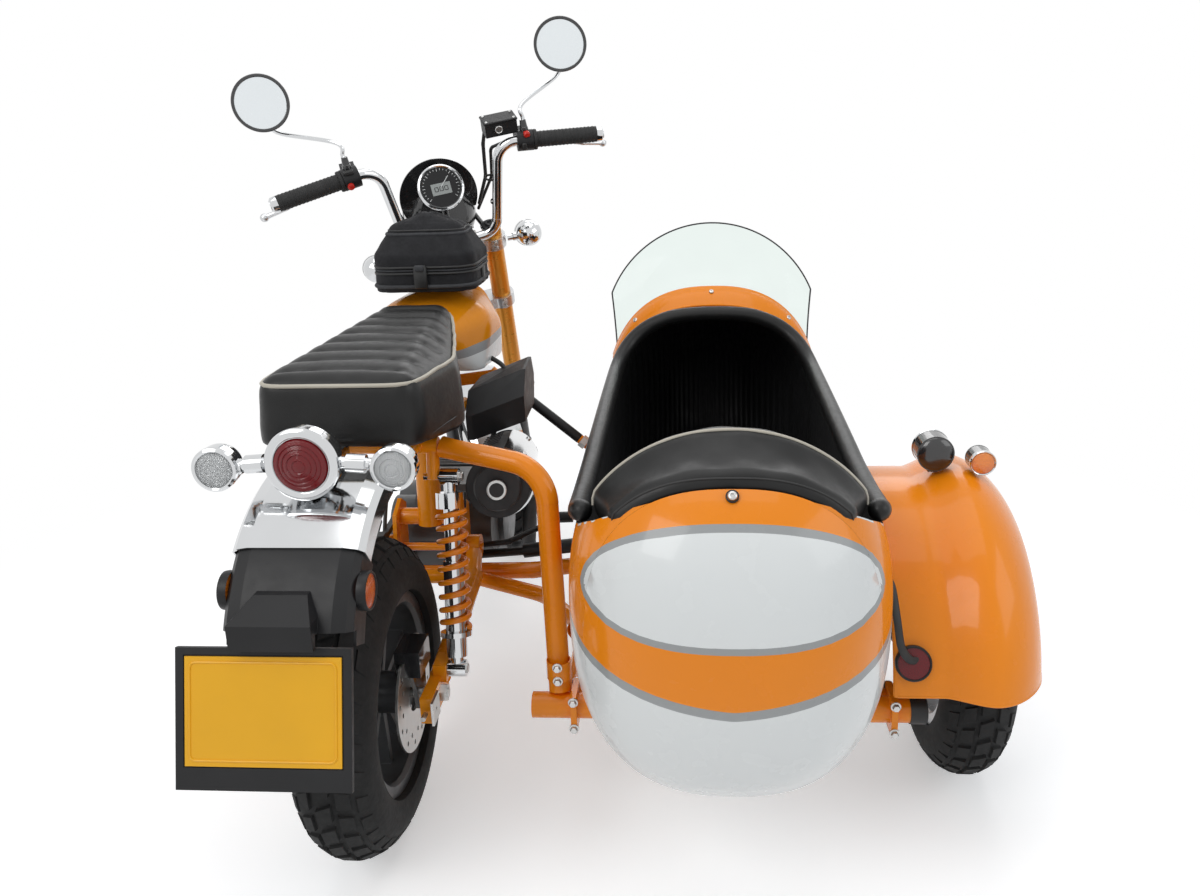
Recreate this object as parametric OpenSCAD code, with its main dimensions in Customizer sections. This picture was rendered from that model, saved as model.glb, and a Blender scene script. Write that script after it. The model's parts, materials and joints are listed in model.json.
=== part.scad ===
// Small motorcycle with a boat-tailed sidecar on its right side.
// Millimetres, +X to the right, +Y forward, +Z up, standing on z = 0.

/* [Layout] */
// Distance between the motorcycle's two axles
wheelbase = 1155; // [1120:1:1190]
// Angle of the steering axis from the vertical
caster = 25; // [23:0.5:27]
// Distance from the steering axis to the front contact point, on the ground
trail = 82; // [76:1:88]
// How far the steering is turned to the left at rest
steer_rest = 23; // [18:1:25]
// Distance from the motorcycle's plane to the sidecar's centre plane
car_offset = 580; // [575:1:590]
// Distance from the motorcycle's plane to the side wheel's plane
side_track = 992; // [988:1:998]
// How far the side wheel's axle lies ahead of the rear axle
side_lead = 238; // [230:1:245]

/* [Wheels] */
// Outer radius of the rear tyre
rear_tyre_r = 256; // [252:1:258]
// Width of the rear tyre
rear_tyre_w = 130; // [120:1:130]
// Outer radius of the front tyre and of the side wheel's tyre
front_tyre_r = 248; // [244:1:250]
// Width of the front tyre and of the side wheel's tyre
front_tyre_w = 120; // [110:1:120]
// Outer radius of the rims' flanges
rim_r = 165; // [164:1:166]
// Width of the rims over their flanges
rim_w = 96; // [94:1:98]
// Radius of the wheel hubs' bores
hub_bore_r = 8; // [7:0.5:9]

/* [Sidecar body] */
// Half of the body's greatest width
car_half_w = 238; // [234:1:240]
// Height of the body's underside above the ground
car_bottom = 165; // [160:1:175]
// Height of the body's crown ahead of the cockpit
car_top = 722; // [712:1:730]
// Height at which the body is widest
car_middle = 460; // [450:1:470]
// Height of the cockpit's side edges where the front hoop begins
cockpit_edge = 592; // [586:1:598]
// How much lower the cockpit's side edges are beside the seat
edge_dip = 34; // [20:1:40]
// Length of the rounded tail
tail_len = 250; // [240:1:260]
// Where the tail begins, ahead of the rear axle
tail_start = -25; // [-30:1:-20]
// Where the nose begins, ahead of the rear axle
nose_start = 800; // [780:1:820]
// Length of the nose
nose_len = 520; // [480:1:560]
// Thickness of the body shell
car_wall = 8; // [6:1:10]

/* [Fork and handlebar] */
// Distance of each fork leg from the centre plane
leg_x = 94; // [91:1:96]
// Diameter of the fork's outer tubes
leg_d = 44; // [42:1:46]
// Half of the handlebar's width
bar_half = 357; // [345:1:362]
// Diameter of the handlebar's tube
bar_d = 22; // [20:1:24]
// Rise of the handlebar's grips above its clamp, along the steering axis
bar_rise = 208; // [195:1:215]

/* [Hidden] */
$fn = 48;

// Where the motorcycle's plane and rear axle lie in the vehicle's frame
bike_x = -346;
rear_y = -518.5;
// Turning clearance between a shaft and its bearing, on the radius
fit = 0.3;

paint_yellow = [0.96, 0.56, 0.06];
paint_orange = [0.95, 0.48, 0.05];
black = [0.07, 0.07, 0.08];
graphite = [0.2, 0.2, 0.22];
chrome = [0.85, 0.86, 0.88];
silver = [0.65, 0.66, 0.68];
tyre_black = [0.09, 0.09, 0.1];

// ---- Frames of reference ----

// The motorcycle: x = 0 in its plane, y = 0 at the rear axle
module on_bike() {
    translate([bike_x, rear_y, 0]) children();
}

// The sidecar: x = 0 in its own centre plane
module on_car() {
    translate([bike_x + car_offset, rear_y, 0]) children();
}

// The steered parts: z runs up the steering axis from the ground, turned as at rest
module on_fork() {
    on_bike() translate([0, wheelbase + trail, 0]) rotate([caster, 0, 0]) rotate([0, 0, steer_rest])
        children();
}

// Copies on the left and on the right
module both_sides() {
    children();
    mirror([1, 0, 0]) children();
}

// ---- Basic shapes ----

function unit(v) = v / norm(v);
function between(a, b, t) = a + (b - a) * t;
function arc(cx, cy, r, from, to, n) =
    [for (i = [0 : n]) let (a = from + (to - from) * i / n) [cx + r * cos(a), cy + r * sin(a)]];

// Round bar from a to b
module rod(a, b, d) {
    v = b - a;
    translate(a) rotate([0, acos(v.z / norm(v)), atan2(v.y, v.x)]) cylinder(h = norm(v), d = d);
}

// Cylinder along X, centred at p
module along_x(p, h, r) {
    translate(p) rotate([0, 90, 0]) cylinder(h = h, r = r, center = true);
}

// Box from its middle
module block(p, size) {
    translate(p) cube(size, center = true);
}

// How far from a corner its bend of radius r begins
function turn_at(p, i) = acos(max(-1, min(1, unit(p[i] - p[i - 1]) * unit(p[i + 1] - p[i]))));
function setback(p, i, r) = (i == 0 || i == len(p) - 1) ? 0 : r * tan(turn_at(p, i) / 2);

// How far a tube's straight lengths reach into its bends, which are 0.3 mm fuller all round
lap = 2;

// Tube with bends of centre-line radius r at the inner points
module bent_tube(p, d, r) {
    for (i = [0 : len(p) - 2]) {
        u = unit(p[i + 1] - p[i]);
        rod(p[i] + u * (setback(p, i, r) - (i > 0 ? lap : 0)),
            p[i + 1] - u * (setback(p, i + 1, r) - (i < len(p) - 2 ? lap : 0)), d);
    }
    for (i = [1 : len(p) - 2]) {
        u = unit(p[i] - p[i - 1]);
        v = unit(p[i + 1] - p[i]);
        a = turn_at(p, i);
        side = (v - u * cos(a)) / sin(a);
        c = p[i] - u * setback(p, i, r) + side * r;
        w = cross(-side, u);
        multmatrix([[-side.x, u.x, w.x, c.x], [-side.y, u.y, w.y, c.y], [-side.z, u.z, w.z, c.z]])
            rotate_extrude(angle = a) translate([r, 0]) circle(d = d + 0.6);
    }
}

// Outline in the side view, extruded across x from -half to half
module side_plate(points, from, to) {
    translate([from, 0, 0]) rotate([90, 0, 90]) linear_extrude(to - from) polygon(points);
}

// ---- Wheels, each about its own axle along X ----

bead_r = 153;
bead_half = 44.5;

function tyre_outline(r, w) = concat(
    arc(r - w / 2, 0, w / 2, -112, 112, 28),
    [[rim_r + 2, rim_w / 2 + 4], [rim_r + 2, bead_half], [bead_r, bead_half],
     [bead_r, -bead_half], [rim_r + 2, -bead_half], [rim_r + 2, -rim_w / 2 - 4]]);

module tyre(r, w) {
    color(tyre_black) rotate([0, 90, 0]) rotate_extrude() polygon(tyre_outline(r, w));
}

spokes = 5;
hub_r = 34;

// Cast wheel: rim, hub of the given half width and pairs of spokes
module cast_wheel(hub_half) {
    rotate([0, 90, 0]) difference() {
        union() {
            rotate_extrude() polygon([[bead_r - 10, -40], [bead_r - 6, -rim_w / 2], [rim_r, -rim_w / 2],
                [rim_r, -bead_half - 0.5], [bead_r - 0.5, -bead_half - 0.5],
                [bead_r - 0.5, bead_half + 0.5], [rim_r, bead_half + 0.5], [rim_r, rim_w / 2],
                [bead_r - 6, rim_w / 2], [bead_r - 10, 40]]);
            cylinder(h = 2 * hub_half, r = hub_r, center = true);
            for (i = [0 : spokes - 1]) rotate([0, 0, i * 360 / spokes]) both_sides()
                linear_extrude(30, center = true)
                    polygon([[1, hub_r - 6], [15, hub_r - 6], [38, bead_r - 12], [26, bead_r - 8]]);
        }
        cylinder(h = 3 * hub_half, r = hub_bore_r + fit, center = true);
    }
}

// Brake disc with a carrier that meets the hub
module disc(outer, inner, x) {
    translate([x, 0, 0]) rotate([0, 90, 0]) difference() {
        cylinder(h = 4, r = outer, center = true);
        cylinder(h = 6, r = inner, center = true);
        for (i = [0 : 11], j = [0 : 1]) rotate([0, 0, i * 30 + j * 15])
            translate([inner + 38 + j * 14, 0, -5]) cylinder(h = 10, r = 4);
    }
}

// ---- Motorcycle: frame and engine ----

head_low = 804;
head_high = 934;
stem_r = 16.7;
pivot = [0, 430, 322];
pivot_r = 8;
shock_top = [128, 118, 590];
shock_low = [138, 30, 284];
rail_x = 72;
rail_rear = [rail_x, -62, 660];

// Point on the steering axis, u along it and v ahead of it, in the motorcycle's frame
function on_axis(u, v) = [0, wheelbase + trail - u * sin(caster) + v * cos(caster),
    u * cos(caster) + v * sin(caster)];

module frame() color(paint_yellow) on_bike() {
    difference() {
        union() {
            translate([0, wheelbase + trail, 0]) rotate([caster, 0, 0])
                translate([0, 0, head_low]) cylinder(h = head_high - head_low, d = 54);
            bent_tube([on_axis(868, -20), [0, 640, 612], [0, 452, 590], [0, 430, 372]], 48, 60);
            both_sides() rod([rail_x, 500, 606], rail_rear, 26);
            rod([-rail_x, 470, 611], [rail_x, 470, 611], 30);
            rod([-rail_x, 0, 653], [rail_x, 0, 653], 20);
            rod([-rail_x, -50, 659], [rail_x, -50, 659], 22);
            rod([-shock_top.x + 18, 130, 641], [shock_top.x - 18, 130, 641], 28);
            both_sides() rod([shock_top.x - 28, 130, 641], [shock_top.x - 28, 118, 586], 22);
            along_x(pivot, 208, pivot_r);
            both_sides() side_plate([[395, 250], [470, 262], [480, 400], [450, 420], [405, 400],
                [392, 330]], 62, 70);
            rod([-66, 440, 385], [66, 440, 385], 34);
            rod([-66, 425, 268], [66, 425, 268], 26);
        }
        translate([0, wheelbase + trail, 0]) rotate([caster, 0, 0])
            translate([0, 0, head_low - 5]) cylinder(h = head_high - head_low + 10, r = stem_r + fit);
        along_x([0, shock_top.y, shock_top.z], 400, 6);
    }
}

engine_x = 58;

module engine() color(graphite) on_bike() difference() {
    union() {
        side_plate([[500, 240], [660, 214], [742, 232], [752, 330], [700, 398], [560, 408],
            [500, 360]], -engine_x, engine_x);
        along_x([0, 660, 298], 236, 78);
        along_x([0, 560, 318], 216, 62);
        translate([0, 720, 330]) rotate([-82, 0, 0]) {
            cylinder(h = 115, r = 44);
            for (i = [0 : 7]) translate([0, 0, 30 + i * 9]) cube([126, 112, 4], center = true);
            translate([0, 0, 118]) cube([114, 96, 40], center = true);
        }
    }
    along_x(pivot, 300, 10);
}

// Cover from an inner outline at x = 88 to a smaller one at the given x, dropped at its top edge
module side_cover(x, drop) hull() {
    side_plate([[436, 548], [600, 548], [618, 600], [606, 636], [470, 640], [430, 600]], 88, 100);
    side_plate([[470, 576], [590, 580], [606, 640 - drop], [580, 682 - drop], [500, 676 - drop],
        [466, 630 - drop]], x - 6, x);
}

module side_covers() color(black) on_bike() {
    side_cover(200, 0);
    mirror([1, 0, 0]) side_cover(136, 34);
}

muffler_front = [150, 540, 478];
muffler_rear = [197, 170, 552];
muffler_r = 54;

module exhaust() color(black) on_bike() {
    bent_tube([[30, 812, 274], [60, 770, 190], [150, 700, 190], [172, 640, 360],
        between(muffler_front, muffler_rear, 0.1)], 32, 40);
    rod(muffler_front, muffler_rear, 2 * muffler_r);
    rod(muffler_rear, between(muffler_front, muffler_rear, 1.04), 78);
    rod(between(muffler_front, muffler_rear, 1.03), between(muffler_front, muffler_rear, 1.1), 30);
}

module heat_shield() color(chrome) on_bike() {
    v = muffler_rear - muffler_front;
    translate(between(muffler_front, muffler_rear, 0.12))
        rotate([0, acos(v.z / norm(v)), atan2(v.y, v.x)]) rotate([0, 0, 20])
        rotate_extrude(angle = 150) translate([muffler_r + 5, 0]) square([3, 290]);
}

// ---- Motorcycle: tank, bag and seat ----

module fuel_tank() color(paint_yellow) on_bike() difference() {
    hull() {
        both_sides() {
            translate([66, 655, 728]) sphere(r = 61, $fn = 32);
            translate([62, 600, 746]) sphere(r = 58, $fn = 32);
            translate([40, 735, 765]) sphere(r = 48, $fn = 32);
            translate([34, 520, 735]) sphere(r = 42, $fn = 32);
            translate([80, 560, 664]) cylinder(h = 10, r = 28, $fn = 32);
            translate([84, 690, 664]) cylinder(h = 10, r = 34, $fn = 32);
        }
        translate([0, 610, 770]) sphere(r = 58, $fn = 32);
    }
    side_plate([[400, 500], [950, 500], [950, 905], [650, 672], [400, 668]], -34, 34);
}

module tank_bag() color(black) on_bike() hull() {
    both_sides() {
        translate([60, 560, 829]) cylinder(h = 74, r = 44, $fn = 32);
        translate([60, 680, 829]) cylinder(h = 68, r = 42, $fn = 32);
        translate([50, 586, 934]) sphere(r = 32, $fn = 32);
        translate([48, 656, 928]) sphere(r = 32, $fn = 32);
    }
    translate([0, 612, 948]) sphere(r = 36, $fn = 32);
}

module seat() color(black) on_bike() hull() {
    both_sides() {
        translate([92, 6, 692]) cylinder(h = 30, r = 38, $fn = 24);
        translate([92, 8, 768]) sphere(r = 34, $fn = 22);
        translate([106, 170, 664]) cylinder(h = 20, r = 42, $fn = 24);
        translate([103, 180, 752]) sphere(r = 36, $fn = 22);
        translate([48, 440, 690]) cylinder(h = 20, r = 30, $fn = 32);
        translate([44, 440, 792]) sphere(r = 28, $fn = 22);
    }
}

// ---- Motorcycle: rear suspension and brake ----

arm_x = 104;
arm_end = [arm_x, -6, rear_tyre_r];

module swingarm() color(paint_yellow) on_bike() difference() {
    union() {
        both_sides() {
            rod([arm_x, 332, 304], [arm_x, 40, 262], 36);
            rod([90, 404, 317], [arm_x, 326, 303], 33);
            block([arm_x, 0, rear_tyre_r], [20, 110, 44]);
            block([111, 36, 282], [22, 46, 30]);
            along_x([87, pivot.y, pivot.z], 26, 25);
        }
        rod([-98, 330, 304], [98, 330, 304], 28);
    }
    along_x([0, 0, rear_tyre_r], 300, hub_bore_r + 0.1);
    along_x(pivot, 300, pivot_r + fit);
    along_x([0, shock_low.y, shock_low.z], 400, 6);
}

module rear_axle() color(silver) on_bike() {
    along_x([0, 0, rear_tyre_r], 256, hub_bore_r);
    both_sides() {
        translate([arm_x + 10, 0, rear_tyre_r]) rotate([0, 90, 0]) cylinder(h = 12, r = 15, $fn = 6);
        difference() {
            block([arm_x + 12, -45, rear_tyre_r], [4, 40, 40]);
            along_x([0, -45, rear_tyre_r], 400, 3);
        }
        rod([arm_x, -62, rear_tyre_r], [arm_x, -78, rear_tyre_r], 8);
    }
}

module chain_guard() color(black) on_bike() {
    side_plate([[30, 330], [300, 372], [372, 372], [372, 380], [298, 382], [20, 342]], -98, -74);
    difference() {
        side_plate(concat(arc(0, rear_tyre_r, 84, 90, 270, 20), [[490, 292], [490, 374]]), -92, -80);
        side_plate(concat(arc(0, rear_tyre_r, 72, 90, 270, 20), [[490, 304], [490, 362]]), -95, -70);
    }
}

module shock_absorbers() color(silver) on_bike() both_sides() {
    u = unit(shock_low - shock_top);
    difference() {
        union() {
            along_x(shock_top, 30, 14);
            along_x(shock_low, 30, 14);
            rod(shock_top + u * 8, shock_top + u * 30, 22);
            rod(shock_top + u * 26, shock_top + u * 52, 50);
            rod(shock_top + u * 50, shock_top + u * 150, 26);
            rod(shock_top + u * 140, shock_low - u * 20, 34);
            rod(shock_low - u * 62, shock_low - u * 54, 52);
            rod(shock_low - u * 24, shock_low - u * 8, 22);
        }
        along_x(shock_top, 60, 6);
        along_x(shock_low, 60, 6);
    }
    along_x(shock_top - [12, 0, 0], 64, 5.5);
    along_x(shock_low - [10, 0, 0], 56, 5.5);
}

// Coil spring as a closed tube along a helix that starts at the origin and runs down z
module coil(r, wire, height, turns, per_turn, sides) {
    rings = turns * per_turn;
    points = [for (i = [0 : rings]) let (a = 360 * i / per_turn) for (k = [0 : sides - 1])
        let (b = 360 * k / sides, q = r + wire / 2 * cos(b))
            [q * cos(a), q * sin(a), -height * i / rings + wire / 2 * sin(b)]];
    walls = [for (i = [0 : rings - 1], k = [0 : sides - 1]) let (m = (k + 1) % sides)
        [i * sides + k, (i + 1) * sides + k, (i + 1) * sides + m, i * sides + m]];
    polyhedron(concat(points), concat(walls, [[for (k = [0 : sides - 1]) k],
        [for (k = [sides - 1 : -1 : 0]) rings * sides + k]]));
}

spring_r = 22.5;
spring_wire = 8;

module shock_springs() color(paint_orange) on_bike() both_sides() {
    v = shock_top - shock_low;
    translate(shock_top - unit(v) * 57.5) rotate([0, acos(v.z / norm(v)), atan2(v.y, v.x)])
        coil(spring_r, spring_wire, norm(v) - 125, 8, 12, 6);
}

module rear_caliper() color(black) on_bike() difference() {
    union() {
        block([80, -24, 338], [40, 62, 44]);
        side_plate([[-22, 240], [22, 240], [26, 290], [7, 322], [-50, 322], [-30, 280]], 77, 84);
    }
    along_x([68, 0, rear_tyre_r], 14, 101);
    along_x([80, 0, rear_tyre_r], 60, hub_bore_r + 0.1);
}

// ---- Motorcycle: rear fender, plate and lamps ----

fender_c = [0, -51, 400.5];
fender_r = 280;
fender_half = 92;

// Curved sheet about the fender's centre: from and to are degrees behind the vertical
module fender_sheet(r, half, drop, from, to, t) {
    translate(fender_c) rotate([0, 90, 0]) rotate([0, 0, 180 + from]) rotate_extrude(angle = to - from)
        polygon(concat(
            [[r - drop, half], [r - 14, half], [r - 5, half - 8], [r, half - 26], [r, 26 - half],
             [r - 5, 8 - half], [r - 14, -half], [r - drop, -half]],
            [[r - drop, t - half], [r - 14, t - half], [r - 5 - t, 10 - half], [r - t, 28 - half],
             [r - t, half - 28], [r - 5 - t, half - 10], [r - 14, half - t], [r - drop, half - t]]));
}

module rear_fender() color(chrome) on_bike() fender_sheet(fender_r, fender_half, 42, 6, 39, 2.5);

module fender_extension() color(black) on_bike() difference() {
    union() {
        fender_sheet(fender_r - 4, 88, 60, 37.5, 66, 4);
        hull() {
            translate([-6, -262, 566]) cube([72, 30, 16], center = true);
            translate([-12, -296, 530]) cube([112, 36, 36], center = true);
        }
    }
    translate(plate_c) rotate([-plate_lean, 0, 0]) block([0, 1, 20], [260, 30, 166]);
}

plate_c = [-30, -318, 428];
plate_lean = 17;
// Distance of the plate's face ahead of its middle plane, towards the rear
plate_face = 4.8;

module on_plate() {
    on_bike() translate(plate_c) rotate([-plate_lean, 0, 0]) children();
}

module plate_frame() color(black) on_plate() {
    difference() {
        block([0, 0, -10], [236, 8, 186]);
        block([0, -4, 0], [214, 4, 147]);
    }
    block([6, 10, 70], [100, 12, 66]);
}

module number_plate() color([0.95, 0.72, 0.05]) on_plate()
    block([0, 1.4 - plate_face, 0], [210, 2.8, 143]);

tail_lamp = [0, -156, 716];
signal_x = 125;

module lamp_housings() color(chrome) on_bike() {
    translate(tail_lamp) rotate([90, 0, 0]) difference() {
        rotate_extrude() polygon(concat([[0, -52]], arc(0, 0, 50, -80, 0, 10), [[51, 18], [38.5, 20],
            [38.5, 6], [0, 6]]));
    }
    block([0, -92, 696], [40, 80, 12]);
    block([0, -50, 684], [40, 22, 28]);
    both_sides() {
        rod([44, -158, 714], [signal_x - 28, -156, 710], 17);
        rod([58, -157.5, 713], [84, -156.5, 711], 26);
        translate([signal_x, -156, 708]) rotate([90, 0, 0])
            rotate_extrude() polygon(concat([[0, -36]], arc(0, -4, 31, -80, 0, 8), [[31, 14], [25.5, 15],
                [25.5, 6], [0, 6]]));
    }
}

module tail_lens() color([0.5, 0.02, 0.03]) on_bike() translate(tail_lamp) rotate([90, 0, 0])
    rotate_extrude() polygon([[0, 6.3], [38, 6.3], [38, 22], [30, 27], [0, 29]]);

module signal_lenses() color([0.9, 0.9, 0.88]) on_bike() both_sides()
    translate([signal_x, -156, 708]) rotate([90, 0, 0])
        rotate_extrude() polygon([[0, 6.3], [25, 6.3], [25, 16], [18, 21], [0, 23]]);

module side_reflectors() color([0.8, 0.3, 0.05]) on_bike() both_sides()
    translate([88.5, -236, 560]) rotate([0, 90, 0]) cylinder(h = 10, r = 24);

module foot_pegs() color(black) on_bike() {
    both_sides() {
        rod([58.3, 496, 272], [176, 496, 282], 18);
        rod([176, 496, 282], [308, 496, 298], 30);
    }
    bent_tube([[71, 466, 306], [150, 466, 316], [210, 520, 326], [236, 566, 324]], 12, 14);
    rod([214, 580, 322], [272, 580, 324], 24);
    bent_tube([[-108.3, 556, 292], [-160, 556, 292], [-170, 622, 300], [-226, 624, 304]], 12, 14);
}

// ---- Steered parts ----

axle_fwd = (front_tyre_r * sin(caster) - trail * cos(caster));
camber = asin(sin(steer_rest) * sin(caster));
// Height of the front axle along the steering axis, at which the turned wheel meets the ground
axle_up = ((front_tyre_r - front_tyre_w / 2) * cos(camber) + front_tyre_w / 2
    - axle_fwd * cos(steer_rest) * sin(caster)) / cos(caster);
clamp_y = -4;
clamp_z = 986;
tube_low = 560;

module fork_tubes() color(paint_yellow) on_fork() both_sides()
    translate([leg_x, axle_fwd, tube_low]) cylinder(h = 428, d = leg_d);

module fork_sliders() color(graphite) on_fork() both_sides() difference() {
    union() {
        translate([leg_x, axle_fwd, axle_up]) cylinder(h = tube_low - axle_up - 0.5, d = 32);
        translate([leg_x, axle_fwd, axle_up - 22]) cylinder(h = 74, d = 38);
    }
    along_x([leg_x, axle_fwd, axle_up], 60, 7.6);
}

module fork_clamps() color(silver) on_fork() {
    cylinder_top = 962;
    difference() {
        union() {
            for (z = [head_low - 30, head_high + 1]) {
                translate([-leg_x, axle_fwd - 24, z]) cube([2 * leg_x, 48, 28]);
                both_sides() translate([leg_x, axle_fwd, z]) cylinder(h = 28, r = 30);
                translate([0, 4, z + 14]) cube([70, 64, 28], center = true);
            }
            translate([0, 0, head_low - 30]) cylinder(h = cylinder_top - head_low + 30, r = stem_r);
            both_sides() translate([34, clamp_y, 955]) cylinder(h = clamp_z - 955, r = 11.5);
            both_sides() along_x([34, clamp_y, clamp_z], 26, 20);
        }
        both_sides() translate([leg_x, axle_fwd, 0]) cylinder(h = 1100, d = leg_d + 0.2);
        along_x([0, clamp_y, clamp_z], 200, bar_d / 2 + 0.1);
    }
}

grip_in = [130, clamp_y - 4, clamp_z + bar_rise + 8];
grip_out = [bar_half, clamp_y - 38, clamp_z + bar_rise - 6];
function along_grip(x) = between(grip_in, grip_out, (x - grip_in.x) / (grip_out.x - grip_in.x));
function flip(p) = [-p.x, p.y, p.z];

module handlebar() color(chrome) on_fork()
    bent_tube([flip(grip_out), flip(grip_in), [-100, clamp_y, clamp_z], [100, clamp_y, clamp_z],
        grip_in, grip_out], bar_d, 44);

module grips() color(black) on_fork() both_sides() difference() {
    union() {
        rod(along_grip(212), along_grip(bar_half - 14), 33);
        rod(along_grip(206), along_grip(213), 42);
    }
    rod(along_grip(190), along_grip(bar_half + 20), bar_d + 0.1);
}

module levers() color(silver) on_fork() both_sides() {
    bent_tube([along_grip(192) + [0, 49, -12], along_grip(240) + [0, 68, -30],
        along_grip(330) + [0, 68, -50], along_grip(376) + [0, 80, -60]], 11, 30);
    translate(along_grip(379) + [0, 80.5, -60.5]) sphere(r = 9);
}

module switchgear() color(black) on_fork() {
    both_sides() difference() {
        union() {
            rod(along_grip(171), along_grip(205), 44);
            translate(along_grip(188) + [0, 20, 0]) cube([30, 46, 30], center = true);
        }
        rod(along_grip(140), along_grip(240), bar_d + 0.1);
    }
    translate(along_grip(176) + [-34, 24, 33]) cube([70, 40, 30], center = true);
}

mirror_c = [322, 112, 1336];
mirror_r = 58;

module mirrors() color(black) on_fork() both_sides() {
    base = along_grip(190) + [0, 4, 22.5];
    bent_tube([base, base + [4, 12, 34], between(base, mirror_c, 0.78) + [4, 6, 0], mirror_c], 8, 16);
    translate(mirror_c) rotate([90 - caster, 0, 0]) rotate([0, -12, 0]) rotate_extrude()
        polygon([[0, -8], [38, -5], [mirror_r - 3, 4], [mirror_r, 9], [mirror_r, 13], [0, 13]]);
}

lamp_y = 134;
lamp_z = 990;

module headlight() color(black) on_fork() {
    translate([0, lamp_y, lamp_z]) rotate([-90 - caster, 0, 0]) rotate_extrude()
        polygon(concat([[0, -62]], arc(0, 0, 82, -50, 0, 10), [[84, 42], [70, 50], [0, 54]]));
    both_sides() rod([74, lamp_y - 12, lamp_z - 12], [leg_x, axle_fwd + 37, 949], 12);
    translate([0, 112, 1044]) rotate([90 - 6, 0, 0]) difference() {
        cylinder(h = 3, r = 90);
        translate([-100, -150, -5]) cube([200, 110, 20]);
    }
}

module meter() color(graphite) on_fork() {
    translate([0, 56, 1092]) rotate([90 - caster - 14, 0, 0]) rotate_extrude()
        polygon([[0, -34], [34, -30], [47, -8], [51, 0], [51, 14], [0, 14]]);
    rod([0, 54, 1062], [0, 36, 966], 16);
}

signal_out = 180;

module front_signals() color(chrome) on_fork() both_sides() {
    rod([leg_x + 34, axle_fwd, 944], [signal_out - 18, axle_fwd, 944], 15);
    translate([signal_out, axle_fwd, 944]) rotate([-90 - caster, 0, 0])
        rotate_extrude() polygon(concat([[0, -38]], arc(0, -4, 30, -80, 0, 8), [[30, 18], [20, 25],
            [0, 26]]));
}

module front_fender() color(chrome) on_fork() {
    r = front_tyre_r + 20;
    translate([0, axle_fwd, axle_up]) rotate([0, 90, 0]) rotate([0, 0, 105]) rotate_extrude(angle = 130)
        polygon([[r - 26, 66], [r - 8, 66], [r, 50], [r, -50], [r - 8, -66], [r - 26, -66],
            [r - 26, -64], [r - 9, -64], [r - 2.5, -49], [r - 2.5, 49], [r - 9, 64], [r - 26, 64]]);
    both_sides() block([71.7, axle_fwd, axle_up + r - 18], [12.4, 36, 20]);
}

module front_caliper() color(black) on_fork() {
    difference() {
        block([-72, axle_fwd - 78, axle_up + 66], [52, 54, 68]);
        along_x([-58, axle_fwd, axle_up], 14, 114);
    }
    block([-88, axle_fwd - 41, axle_up + 60], [10, 44, 40]);
    along_x([0, axle_fwd, axle_up], 236, 7.5);
    both_sides() translate([leg_x + 20, axle_fwd, axle_up]) rotate([0, 90, 0])
        cylinder(h = 10, r = 13, $fn = 6);
}

module control_cables() color(black) on_fork() {
    bent_tube([along_grip(120) + [0, 49, 26], [112, 66, 1170], [108, 72, 1090], [88, 100, 1010]], 8, 24);
    bent_tube([along_grip(188) + [-18, 34, -6], [130, 80, 1150], [124, 84, 1080], [86, 112, 990]], 7, 20);
    bent_tube([flip(along_grip(188)) + [18, 34, -6], [-124, 72, 1150], [-114, 80, 1080],
        [-88, 104, 1000]], 7, 20);
}

module front_wheel_place() {
    on_fork() translate([0, axle_fwd, axle_up]) children();
}

module rear_wheel_place() {
    on_bike() translate([0, 0, rear_tyre_r]) children();
}

module side_wheel_place() {
    on_bike() translate([side_track, side_lead, front_tyre_r]) children();
}

module front_rim() color(graphite) front_wheel_place() cast_wheel(52);
module front_tyre() front_wheel_place() tyre(front_tyre_r, front_tyre_w);
module front_disc() color(silver) front_wheel_place() disc(108, 30, -58);
module rear_rim() color(graphite) rear_wheel_place() cast_wheel(62);
module rear_tyre() rear_wheel_place() tyre(rear_tyre_r, rear_tyre_w);
module rear_disc() color(silver) rear_wheel_place() disc(95, 30, 68);
module side_rim() color(silver) side_wheel_place() cast_wheel(52);
module side_tyre() side_wheel_place() tyre(front_tyre_r, front_tyre_w);

// ---- Sidecar ----

rail_left = -248;
rail_right = 248;
rail_z = 236;
tube_d = 38;
cross_d = 42;

module sidecar_chassis() color(paint_orange) on_car() {
    rod([-314, 0, rail_z], [290, 0, rail_z], cross_d);
    bent_tube([[rail_left, 0, rail_z], [rail_left, 1090, rail_z], [rail_left + 110, 1200, rail_z],
        [rail_right - 110, 1200, rail_z], [rail_right, 1090, rail_z], [rail_right, 0, rail_z]],
        tube_d, 80);
    rod([rail_left, 440, rail_z], [rail_left + 70, 440, rail_z], 30);
    rod([rail_right, 440, rail_z], [rail_right - 70, 440, rail_z], 30);
    for (x = [-244, 262]) block([x, 0, rail_z], [10, 60, 64]);
}

module bike_mounts() color(paint_orange) on_bike() difference() {
    union() {
        bent_tube([[116, 128, 639], [292, 92, 612], [311, 6, rail_z + 24]], 36, 72);
        bent_tube([[75, 432, 266], [200, 462, 254], [331, 520, 244]], 34, 60);
        bent_tube([[75, 418, 262], [236, 376, 240], [331, 240, 238]], 30, 60);
        rod([26, 636, 618], [122, 636, 630], 26);
        rod([104, 636, 640], [332, 601, 461], 20);
        block([334.5, 596, 456], [14, 46, 46]);
    }
    translate([car_offset, 0, 0]) {
        rod([rail_left, -200, rail_z], [rail_left, 800, rail_z], tube_d + 0.2);
        rod([-400, 0, rail_z], [100, 0, rail_z], cross_d + 0.2);
    }
    rod([-200, 130, 641], [200, 130, 641], 28.2);
    rod([0, 640, 500], [0, 640, 700], 50);
}

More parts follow.
